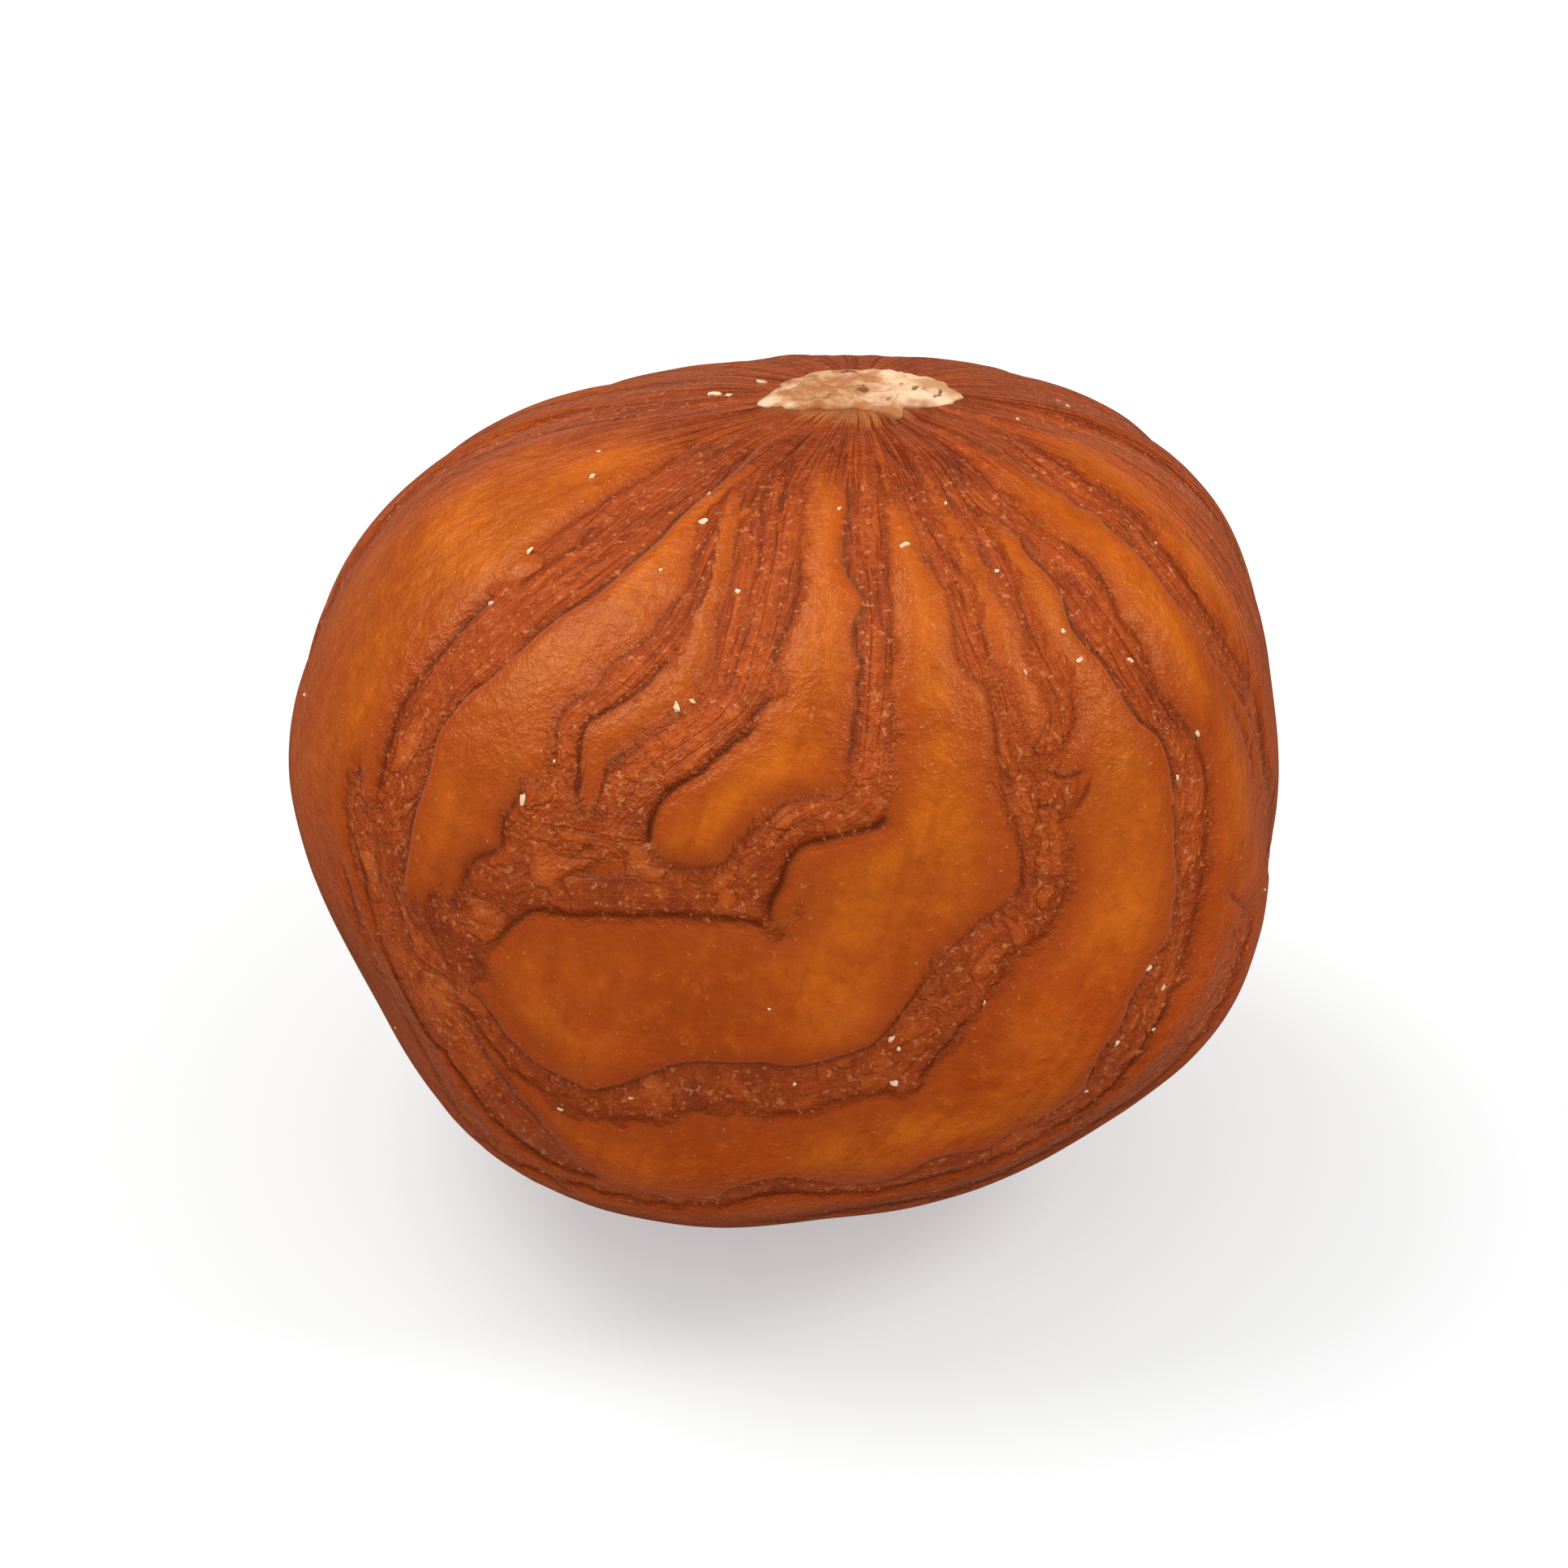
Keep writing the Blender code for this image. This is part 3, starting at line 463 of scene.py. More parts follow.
def smooth_path(points):
    """A curve through the points, with a few steps to each span."""
    ends = np.vstack([2 * points[0] - points[1], points, 2 * points[-1] - points[-2]])
    steps = np.arange(STEPS_PER_SPAN)[:, None] / STEPS_PER_SPAN
    spans = []
    for before, start, stop, after in zip(ends, ends[1:], ends[2:], ends[3:]):
        bend = 2 * before - 5 * start + 4 * stop - after
        twist = 3 * start - before - 3 * stop + after
        spans.append(start + 0.5 * (stop - before) * steps + 0.5 * bend * steps**2 + 0.5 * twist * steps**3)
    return np.vstack(spans + [points[-1:]])


def band_path(points, place):
    first, second, half = np.array(points, dtype=float).T
    return smooth_path(np.column_stack([place(first, second), half * MM]))


def crease_path(points):
    across, up = np.array(points, dtype=float).T
    return smooth_path(seen(across, up))


def near_path(points, path):
    """Which points lie near enough to the path to feel it."""
    low = path[:, :3].min(axis=0) - PATH_REACH
    high = path[:, :3].max(axis=0) + PATH_REACH
    return np.nonzero(np.all((points > low) & (points < high), axis=1))[0]


class PathPlace:
    """Where points lie beside a path: how far off and along, on which side, and the path's width there."""

    def __init__(self, points, path):
        self.distance = np.full(len(points), np.inf)
        self.run = np.zeros(len(points))
        self.side = np.zeros(len(points))
        self.past_end = np.zeros(len(points))
        self.half_width = np.zeros(len(points))
        outward = unit(points)
        travelled = 0.0
        for number, (start, stop) in enumerate(zip(path, path[1:])):
            along = stop[:3] - start[:3]
            length = np.linalg.norm(along)
            free_share = (points - start[:3]) @ along / length**2
            share = np.clip(free_share, 0.0, 1.0)
            off = points - start[:3] - share[:, None] * along
            gap = np.linalg.norm(off, axis=1)
            closer = gap < self.distance
            self.distance[closer] = gap[closer]
            self.run[closer] = travelled + share[closer] * length
            self.side[closer] = np.sum(np.cross(along / length, off[closer]) * outward[closer], axis=1)
            past = np.zeros(len(points))
            if number == 0:
                past = np.maximum(past, -free_share * length)
            if number == len(path) - 2:
                past = np.maximum(past, (free_share - 1.0) * length)
            self.past_end[closer] = past[closer]
            if len(start) > 3:
                self.half_width[closer] = start[3] + share[closer] * (stop[3] - start[3])
            travelled += length
        self.length = travelled

    def from_end(self):
        """Distance along the path to its nearer end."""
        return np.minimum(self.run, self.length - self.run)


def ripple(points, per_mm, shift):
    """Smooth noise from -1 to 1, with about so many waves to a millimetre."""
    places = points / MM * per_mm + shift
    return np.array([noise.noise(place) for place in places.tolist()])


class SkinFields:
    """What the veins, creases and ribs do at each point of the smooth body."""

    def __init__(self, points, shape):
        count = len(points)
        self.points = points
        self.edge = np.full(count, NO_BAND)
        self.grain = np.zeros((count, 2))
        self.vein_depth = np.zeros(count)
        self.crease = np.full(count, -NO_BAND)
        self.crease_side = np.full(count, -NO_BAND)
        self.crease_strength = np.zeros(count)
        self.crease_sink = np.zeros(count)
        self.step = np.zeros(count)
        self.seam = np.zeros(count)
        self.ribbed = np.zeros(count)
        self.scar = scar_share(points)
        self.add_bands(shape)
        self.add_creases(shape)
        self.add_ribbed_regions()

    def add_bands(self, shape):
        """Veins: how far inside its band each point lies, and how deep the bands are there."""
        wander = shape.edge_wander * (ripple(self.points, 0.9, 3.1) + 0.6 * ripple(self.points, 2.4, 8.7))
        weights = np.full(len(self.points), 1e-9)
        depths = np.zeros(len(self.points))
        numbered = 0
        for veins, place in ((NEAR_VEINS, seen), (FAR_VEINS, around)):
            for depth, drawn in veins.values():
                path = band_path(drawn, place)
                near = near_path(self.points, path)
                placed = PathPlace(self.points[near], path)
                inside = placed.half_width - placed.distance + wander[near]
                weight = np.exp(inside / DEPTH_BLEND)
                weights[near] += weight
                depths[near] += weight * depth * MM
                best = inside > self.edge[near]
                self.seam[near] = np.where(best, inside - self.edge[near],
                                           np.minimum(self.seam[near], self.edge[near] - inside))
                self.edge[near[best]] = inside[best]
                self.grain[near[best], 0] = placed.side[best] / MM + numbered * GRAIN_SHIFT
                self.grain[near[best], 1] = placed.run[best] / MM
                numbered += 1
        self.vein_depth = depths / weights

    def add_creases(self, shape):
        """Thin creases. Where a vein band ends at a crease, the band's edge is moved onto it."""
        edge_gap = np.full(len(self.points), np.inf)
        crease_edge = np.zeros(len(self.points))
        snap = np.zeros(len(self.points))
        for strength, band_side, drawn in CREASES:
            path = crease_path(drawn)
            near = near_path(self.points, path)
            placed = PathPlace(self.points[near], path)
            best = placed.distance < self.crease[near]
            closest = near[best]
            faded = strength * smoothstep(0.0, CREASE_FADE, placed.from_end())
            self.crease[closest] = placed.distance[best]
            self.crease_side[closest] = (np.sign(placed.side) * placed.distance)[best]
            self.crease_strength[closest] = faded[best]
            across = placed.distance / shape.crease_half_width
            groove = faded * shape.crease_depth * np.exp(-(across**2))
            self.crease_sink[near] = np.maximum(self.crease_sink[near], groove)
            if band_side:
                inside = band_side * placed.side
                bed = np.where(inside > 0.0, np.exp(-np.maximum(inside, 0.0) / shape.bed_half_width),
                               smoothstep(-shape.step_width, 0.0, inside))
                off_line = np.exp(-((placed.past_end / CREASE_FADE) ** 2))
                self.step[near] = np.maximum(self.step[near], faded * off_line * bed)
                nearer = placed.distance < edge_gap[near]
                chosen = near[nearer]
                edge_gap[chosen] = placed.distance[nearer]
                crease_edge[chosen] = inside[nearer]
                reach = smoothstep(SNAP_FAR, SNAP_NEAR, placed.distance)
                snap[chosen] = (reach * smoothstep(SNAP_PAST_END, 0.0, placed.past_end))[nearer]
        self.edge = self.edge + snap * (crease_edge - self.edge)

    def add_ribbed_regions(self):
        """Reddish, ribbed skin round the scar and on the side lobes."""
        tip, _, _ = tip_frame()
        self.from_scar = np.linalg.norm(self.points - on_body(tip[None, :])[0], axis=1)
        patchy = RIBBED_PATCHINESS * ripple(self.points, 0.8, 21.0)
        fade = RIBBED_FADE
        self.ribbed = smoothstep(TIP_FADE, -TIP_FADE, self.from_scar - TIP_ZONE + patchy)
        for drawn in RIBBED_REGIONS:
            path = band_path(drawn, seen)
            near = near_path(self.points, path)
            placed = PathPlace(self.points[near], path)
            inside = placed.half_width - placed.distance + patchy[near]
            self.ribbed[near] = np.maximum(self.ribbed[near], smoothstep(-fade, fade, inside))


def tipwise(points):
    """Places in which patterns run in lines from the tip to the base: round the tip twice, and down."""
    tip, front, right = tip_frame()
    directions = unit(points)
    down = np.arccos(np.clip(directions @ tip, -1.0, 1.0))
    level = np.stack([directions @ front, directions @ right], axis=1)
    level = level / np.maximum(np.linalg.norm(level, axis=1, keepdims=True), 1e-6)
    return np.column_stack([level * REACH_FRONT, down * REACH_FRONT * 0.14])


def scar_share(points):
    """1 at the middle of the scar, 0 at its edge and less outside it."""
    tip, front, right = tip_frame()
    middle = on_body(tip[None, :])[0]
    sideways = (points - middle) @ right / SCAR_HALF_WIDTH
    forwards = (points - middle) @ front / SCAR_HALF_DEPTH
    behind = (points @ tip) < 0.0
    return np.where(behind, -1.0, 1.0 - np.hypot(sideways, forwards))


def swelling(points):
    heel = on_body(unit(np.array([[HEEL_RIGHT, HEEL_BACK, -REACH_DOWN]])))[0]
    bumps = [(HEEL_HEIGHT, HEEL_HALF_WIDTH, heel)]
    for height, half, across, up in NEAR_SWELLINGS:
        bumps.append((height * MM, half * MM, seen([across], [up])[0]))
    total = np.zeros(len(points))
    for height, half, middle in bumps:
        distance = np.linalg.norm(points - middle, axis=1)
        total += height * np.exp(-((distance / half) ** 2))
    return total


def wrinkle_relief(fields, below_tip, shape):
    """Fine relief: wrinkles along the bands, ribs from the tip, and gentle dents on the ridges."""
    level = np.zeros(len(fields.points))
    grain = np.column_stack([fields.grain[:, 0] * 2.6, fields.grain[:, 1] * 0.55, level])
    finer = grain * [2.3, 2.6, 1.0] + 17.0
    strands = ripple(grain * MM, 1.0, 0.0) + 0.5 * ripple(finer * MM, 1.0, 0.0)
    in_band = smoothstep(-0.02 * MM, 0.12 * MM, fields.edge)
    lines = tipwise(fields.points)
    ribs = ripple(lines, 1.7, 5.0) + 0.6 * ripple(lines, 3.6, 11.0)
    fading = np.exp(-((fields.from_scar / RIB_FADE) ** 2))
    relief = shape.wrinkle_height * strands * in_band * below_tip * smoothstep(0.0, SEAM_FADE, fields.seam)
    relief += shape.rib_height * ribs * np.maximum(fields.ribbed, 0.35 * fading)
    dents = ripple(fields.points, 0.45, 31.0) + 0.15 * ripple(fields.points, 1.3, 47.0)
    relief += shape.dent_height * dents
    return relief


def skin_relief(fields, shape):
    """How far the skin rises above the smooth body."""
    tip, _, _ = tip_frame()
    behind = smoothstep(0.0, BEHIND, fields.points[:, 1] - on_body(tip[None, :])[0, 1])
    below_tip = smoothstep(VEINS_START, VEINS_FULL + VEINS_FULL_BEHIND * behind, fields.from_scar)
    bank = smoothstep(-shape.bank_outside, shape.bank_inside, fields.edge)
    sunk = (shape.vein_share * fields.vein_depth * bank + shape.step_height * fields.step) * below_tip
    ridge = np.clip(-fields.edge, 0.0, -NO_BAND)
    crown = shape.ridge_crown * (1.0 - np.exp(-ridge / shape.crown_half_width)) * below_tip
    off_scar = 1.0 - np.clip(fields.scar * SCAR_EDGE_STEEPNESS, 0.0, 1.0)
    relief = wrinkle_relief(fields, below_tip, shape) - fields.crease_sink
    return swelling(fields.points) + (crown - shape.ridge_crown - sunk + relief) * off_scar


def rest_on_floor(points):
    """Presses the flat spot, and puts the bottom middle of the box at the origin."""
    level = points[:, 2].min() + FLAT_DEPTH
    points[:, 2] = np.maximum(points[:, 2], level)
    low, high = points.min(axis=0), points.max(axis=0)
    shift = np.array([(low[0] + high[0]) / 2, (low[1] + high[1]) / 2, level])
    return points - shift, shift


def deselect_all():
    if bpy.context.mode != "OBJECT":
        bpy.ops.object.mode_set(mode="OBJECT")
    bpy.ops.object.select_all(action="DESELECT")


def mesh_points(mesh):
    flat = np.zeros(len(mesh.vertices) * 3)
    mesh.vertices.foreach_get("co", flat)
    return flat.reshape(-1, 3)


def set_mesh_points(mesh, points):
    mesh.vertices.foreach_set("co", points.ravel())
    mesh.update()


def add_values(mesh, name, values):
    layer = mesh.attributes.new(name, "FLOAT", "POINT")
    layer.data.foreach_set("value", values.astype(np.float32))


def add_vectors(mesh, name, vectors):
    layer = mesh.attributes.new(name, "FLOAT_VECTOR", "POINT")
    layer.data.foreach_set("vector", vectors.astype(np.float32).ravel())


def node(tree, kind, **values):
    made = tree.nodes.new(kind)
    for name, value in values.items():
        setattr(made, name, value)
    return made


def read_attribute(tree, name, output="Fac"):
    return node(tree, "ShaderNodeAttribute", attribute_name=name).outputs[output]


def link_or_set(tree, socket, value):
    if isinstance(value, bpy.types.NodeSocket):
        tree.links.new(value, socket)
    else:
        socket.default_value = value


def calculate(tree, operation, first, second=0.0, third=0.0):
    made = node(tree, "ShaderNodeMath", operation=operation)
    for socket, value in zip(made.inputs, (first, second, third)):
        link_or_set(tree, socket, value)
    return made.outputs[0]


def between(tree, value, low, high, to_low=0.0, to_high=1.0):
    made = node(tree, "ShaderNodeMapRange", interpolation_type="SMOOTHSTEP")
    for name, given in (("Value", value), ("From Min", low), ("From Max", high),
                        ("To Min", to_low), ("To Max", to_high)):
        link_or_set(tree, made.inputs[name], given)
    return made.outputs["Result"]


def mix_colours(tree, share, first, second, blend_type="MIX"):
    made = node(tree, "ShaderNodeMix", data_type="RGBA", blend_type=blend_type)
    colours = [socket for socket in made.inputs if socket.type == "RGBA"]
    link_or_set(tree, made.inputs["Factor"], share)
    link_or_set(tree, colours[0], first)
    link_or_set(tree, colours[1], second)
    return [socket for socket in made.outputs if socket.type == "RGBA"][0]


def lay_over(tree, base, share, values):
    """Lays a colour of the palette over what is there, by a share."""
    return mix_colours(tree, share, base, colour(values))


def noise_value(tree, place, scale, detail=3.0, rough=0.55, distortion=0.0):
    made = node(tree, "ShaderNodeTexNoise")
    link_or_set(tree, made.inputs["Vector"], place)
    made.inputs["Scale"].default_value = scale
    made.inputs["Detail"].default_value = detail
    made.inputs["Roughness"].default_value = rough
    made.inputs["Distortion"].default_value = distortion
    return made.outputs["Fac"]


def object_place(tree):
    return node(tree, "ShaderNodeTexCoord").outputs["Object"]


def stretch(tree, vector, scale):
    made = node(tree, "ShaderNodeVectorMath", operation="MULTIPLY")
    link_or_set(tree, made.inputs[0], vector)
    made.inputs[1].default_value = scale
    return made.outputs[0]


def new_material(name):
    material = bpy.data.materials.new(name)
    material.use_nodes = True
    return material, material.node_tree, material.node_tree.nodes["Principled BSDF"]


def colour(values):
    return (*values, 1.0)


def painted_crease_shade(tree, place):
    """Painted shade: 1 on the dark creases, by the distance to the nearest one."""
    ragged = calculate(tree, "MULTIPLY_ADD", noise_value(tree, place, CREASE_WAVES, 3.0), 0.08, -0.04)
    off = calculate(tree, "ADD", calculate(tree, "ABSOLUTE", read_attribute(tree, "crease_side")), ragged)
    strength = read_attribute(tree, "crease_strength")
    width = calculate(tree, "MULTIPLY_ADD", strength, 0.06, 0.03)
    on_line = between(tree, off, 0.0, width, 0.85, 0.0)
    near = between(tree, read_attribute(tree, "crease"), 0.10, 0.15, 1.0, 0.0)
    return calculate(tree, "MULTIPLY", calculate(tree, "MULTIPLY", on_line, near), strength)


def painted_border_shade(tree, place, edge, from_scar):
    """Painted shade: broken thin dark lines along the edges of the bands, where no drawn crease is near."""
    ragged = calculate(tree, "MULTIPLY_ADD", noise_value(tree, place, BORDER_WAVES, 4.0), 0.24, -0.15)
    off = calculate(tree, "ABSOLUTE", calculate(tree, "ADD", edge, ragged))
    on_line = between(tree, off, 0.0, 0.07, 0.75, 0.0)
    broken = between(tree, noise_value(tree, place, LINE_BREAKS, 2.0), 0.44, 0.54)
    alone = between(tree, read_attribute(tree, "crease"), 0.25, 0.60)
    clear = calculate(tree, "MULTIPLY", alone, between(tree, from_scar, 2.5, 4.5))
    return calculate(tree, "MULTIPLY", calculate(tree, "MULTIPLY", on_line, broken), clear)


def ridge_colour(tree, place, lines, edge, from_scar, colours):
    """Plump orange ridges: clouds, streaks from the tip, fine mottles, deeper red near the bands, and
    darker towards the bottom. The deeper red near the bands and the darkening towards the bottom are partly
    the skin's own colour and partly painted shade.
    """
    split = node(tree, "ShaderNodeSeparateXYZ")
    tree.links.new(place, split.inputs[0])
    cloudy = noise_value(tree, place, DARK_CLOUDS, 3.0)
    high = calculate(tree, "MULTIPLY_ADD", cloudy, CLOUD_RISE, split.outputs["Z"])
    ridge = lay_over(tree, colour(colours.ridge), between(tree, high, *HIGH_RIDGES), colours.ridge_high)
    ridge = lay_over(tree, ridge, between(tree, cloudy, 0.60, 0.36, 0.0, 0.6), colours.ridge_deep)
    bright = noise_value(tree, place, BRIGHT_CLOUDS, 3.0, 0.5, 0.4)
    ridge = lay_over(tree, ridge, between(tree, bright, 0.42, 0.72, 0.0, 0.9), colours.ridge_light)
    streaks = noise_value(tree, stretch(tree, lines, (2.6, 2.6, 1.6)), 1.0, 4.0)
    ridge = lay_over(tree, ridge, between(tree, streaks, 0.46, 0.70, 0.0, 0.45), colours.ridge_deep)
    mottled = noise_value(tree, place, FINE_MOTTLES, 4.0, 0.65)
    ridge = lay_over(tree, ridge, between(tree, mottled, 0.48, 0.25, 0.0, 0.5), colours.ridge_deep)
    ridge = lay_over(tree, ridge, between(tree, mottled, 0.50, 0.75, 0.0, 0.5), colours.ridge_light)
    # Deeper red near the bands, over a wider strip further from the tip: partly the skin's own colour,
    # partly painted shade where the ridges round down into the bands.
    uneven = calculate(tree, "MULTIPLY_ADD", bright, 0.7, -0.35)
    far_off = between(tree, from_scar, 5.0, 10.0, -0.45, -0.85)
    near_band = between(tree, calculate(tree, "ADD", edge, uneven), far_off, 0.0)
    stained = calculate(tree, "MULTIPLY", near_band, between(tree, from_scar, 4.5, 9.0, 0.60, 0.85))
    ridge = lay_over(tree, ridge, stained, colours.ridge_edge)
    # Darker towards the bottom: partly the skin's own redder base, partly painted shade of the lower side.
    return lay_over(tree, ridge, between(tree, high, *LOW_RIDGES, 0.0, 0.6), colours.ridge_edge)


def band_colour(tree, grainy, strands, lines, colours):
    """Reddish brown bands: lengthwise strands or folds, thin dark lines, and grain."""
    band = lay_over(tree, colour(colours.band_deep), between(tree, strands, 0.30, 0.52), colours.band)
    band = lay_over(tree, band, between(tree, strands, 0.52, 0.70, 0.0, 0.8), colours.band_light)
    band = lay_over(tree, band, lines, colours.crease)
    band = lay_over(tree, band, between(tree, grainy, 0.47, 0.30, 0.0, 0.6), colours.band_deep)
    return lay_over(tree, band, between(tree, grainy, 0.53, 0.72, 0.0, 0.6), colours.band_light)


def thin_lines(tree, pattern, strength):
    """Thin wavy lines where a pattern crosses its middle."""
    off = calculate(tree, "ABSOLUTE", calculate(tree, "SUBTRACT", pattern, 0.5))
    return between(tree, off, 0.0, 0.045, strength, 0.0)


def skin_material(colours):
    material, tree, shader = new_material("kernel skin")
    place = object_place(tree)
    edge = read_attribute(tree, "band_edge")
    strength = read_attribute(tree, "crease_strength")
    off_crease = calculate(tree, "MAXIMUM", between(tree, read_attribute(tree, "crease"), 0.08, 0.35),
                           calculate(tree, "SUBTRACT", 1.0, strength))
    fray = calculate(tree, "SUBTRACT", noise_value(tree, place, FRAY_WAVES, 5.0, 0.65), 0.5)
    frayed = calculate(tree, "MULTIPLY", fray, calculate(tree, "MULTIPLY_ADD", off_crease, 0.75, 0.08))
    frayed_edge = calculate(tree, "ADD", edge, frayed)
    from_scar = read_attribute(tree, "from_scar")
    off_scar = between(tree, from_scar, 1.8, 3.4)
    in_band = calculate(tree, "MULTIPLY", between(tree, frayed_edge, -0.16, 0.12), off_scar)
    grain = read_attribute(tree, "grain", "Vector")
    fibrous = calculate(tree, "MULTIPLY", between(tree, read_attribute(tree, "seam"), 0.06, 0.20),
                        between(tree, from_scar, 6.8, 10.0, 0.75, 0.2))
    strands = noise_value(tree, stretch(tree, grain, (8.0, 0.35, 1.0)), 1.0, 3.0, 0.6, 0.3)
    folds = noise_value(tree, place, FOLDS, 3.0, 0.5, 1.2)
    strands = mix_colours(tree, fibrous, folds, strands)
    strands = calculate(tree, "SUBTRACT", strands, between(tree, from_scar, 5.0, 8.5, 0.06, 0.0))
    wavy = noise_value(tree, stretch(tree, grain, (4.2, 0.40, 1.0)), 1.0, 2.0, 0.5, 0.3)
    strand_lines = calculate(tree, "MULTIPLY", thin_lines(tree, wavy, 0.28), fibrous)
    folded = calculate(tree, "SUBTRACT", 0.9, fibrous)
    fold_lines = calculate(tree, "MULTIPLY", thin_lines(tree, folds, 0.4), folded)
    strand_lines = calculate(tree, "MAXIMUM", strand_lines, fold_lines)
    lines = read_attribute(tree, "tipwise", "Vector")
    ribs = noise_value(tree, stretch(tree, lines, (2.3, 2.3, 1.6)), 1.0, 4.0, 0.6, 0.3)
    calm = between(tree, from_scar, 7.5, 11.0)
    ribs = calculate(tree, "SUBTRACT", ribs, between(tree, from_scar, 3.0, 5.0, 0.14, 0.03))
    ribs = mix_colours(tree, calculate(tree, "MULTIPLY", calm, 0.7), ribs, colour((0.52, 0.52, 0.52)))
    wavy_ribs = noise_value(tree, stretch(tree, lines, (1.6, 1.6, 1.0)), 1.0, 2.0, 0.5, 0.3)
    rib_lines = thin_lines(tree, wavy_ribs, between(tree, from_scar, 7.5, 10.0, 0.40, 0.0))
    skin = ridge_colour(tree, place, lines, edge, from_scar, colours)
    patchy = between(tree, noise_value(tree, place, FOLDS, 3.0), 0.35, 0.65, 0.72, 1.0)
    grainy = noise_value(tree, place, GRAINS, 4.0, 0.7)
    skin = mix_colours(tree, in_band, skin, band_colour(tree, grainy, strands, strand_lines, colours))
    in_ribs = calculate(tree, "MULTIPLY", read_attribute(tree, "ribbed"), patchy)
    skin = mix_colours(tree, in_ribs, skin, band_colour(tree, grainy, ribs, rib_lines, colours))
    chalky = calculate(tree, "MULTIPLY_ADD", ribs, -1.6, from_scar)
    skin = lay_over(tree, skin, between(tree, chalky, 0.30, 0.72, 0.7, 0.0), colours.fringe)
    # Painted shade: the band darkens into its bed beside a crease.
    bed = between(tree, frayed_edge, 0.02, 0.28, 0.5, 0.0)
    bed = calculate(tree, "MULTIPLY", bed, calculate(tree, "MULTIPLY", in_band, strength))
    skin = lay_over(tree, skin, bed, colours.band_deep)
    # Painted shade along the drawn creases.
    skin = lay_over(tree, skin, painted_crease_shade(tree, place), colours.crease)
    # Painted shade along the other band edges.
    skin = lay_over(tree, skin, painted_border_shade(tree, place, edge, from_scar), colours.crease)
    # Painted sheen: a paler dull colour laid on where the skin is seen at a flat angle, standing in for a
    # grazing reflection.
    facing = node(tree, "ShaderNodeLayerWeight").outputs["Facing"]
    skin = lay_over(tree, skin, between(tree, facing, 0.45, 0.92, 0.0, 0.65), colours.rim)
    # Pale specks, more of them in the bands: partly dry dust, partly painted glints that stand in for tiny
    # highlights.
    dust_and_glint_specks = calculate(tree, "MULTIPLY_ADD", in_band, 0.08, noise_value(tree, place, DUST_AND_GLINT_SPECKS, 2.0, 0.7))
    skin = lay_over(tree, skin, between(tree, dust_and_glint_specks, 0.66, 0.76, 0.0, 0.8), colours.dust_and_glint)
    tree.links.new(skin, shader.inputs["Base Color"])
    mottled = noise_value(tree, place, BROAD_MOTTLES, 5.0, 0.6)
    rough = between(tree, in_band, 0.0, 1.0, 0.24, 0.32)
    tree.links.new(calculate(tree, "MULTIPLY_ADD", mottled, 0.12, rough), shader.inputs["Roughness"])
    shader.inputs["Specular IOR Level"].default_value = 0.55
    shader.inputs["Specular Tint"].default_value = (1.0, 0.60, 0.30, 1.0)
    shader.inputs["Subsurface Weight"].default_value = 0.12
    shader.inputs["Subsurface Radius"].default_value = (1.0, 0.35, 0.10)
    shader.inputs["Subsurface Scale"].default_value = 0.4 * MM
    strand_height = between(tree, fibrous, 0.2, 0.75, 1.6, 0.7)
    raised_strands = calculate(tree, "MULTIPLY", strands, strand_height)
    raised_strands = calculate(tree, "SUBTRACT", raised_strands, strand_lines)
    height = calculate(tree, "MULTIPLY", raised_strands, in_band)
    height = calculate(tree, "MULTIPLY_ADD", calculate(tree, "SUBTRACT", ribs, rib_lines), in_ribs, height)
    crumpled = calculate(tree, "MULTIPLY_ADD", calculate(tree, "MAXIMUM", in_band, in_ribs), 0.7, 0.4)
    height = calculate(tree, "MULTIPLY_ADD", grainy, crumpled, height)
    height = calculate(tree, "MULTIPLY_ADD", mottled, 0.45, height)
    bump = node(tree, "ShaderNodeBump")
    bump.inputs["Strength"].default_value = 0.9
    bump.inputs["Distance"].default_value = 0.16 * MM
    tree.links.new(height, bump.inputs["Height"])
    tree.links.new(bump.outputs["Normal"], shader.inputs["Normal"])
    return material


def cork_group(colours):
    """Mottled pale cork, shared by the scar and the crumbs."""
    name = "pale cork"
    if name in bpy.data.node_groups:
        return bpy.data.node_groups[name]
    group = bpy.data.node_groups.new(name, "ShaderNodeTree")
    group.interface.new_socket("Place", in_out="INPUT", socket_type="NodeSocketVector")
    group.interface.new_socket("Colour", in_out="OUTPUT", socket_type="NodeSocketColor")
    given = node(group, "NodeGroupInput")
    wanted = node(group, "NodeGroupOutput")
    grainy = noise_value(group, given.outputs["Place"], 1.0, 4.0, 0.6)
    cork = lay_over(group, colour(colours.scar_deep), between(group, grainy, 0.35, 0.62), colours.scar)
    group.links.new(cork, wanted.inputs["Colour"])
    return group


def pale_cork(tree, place, fineness, colours):
    made = node(tree, "ShaderNodeGroup", node_tree=cork_group(colours))
    tree.links.new(stretch(tree, place, (fineness, fineness, fineness)), made.inputs["Place"])
    return made.outputs["Colour"]


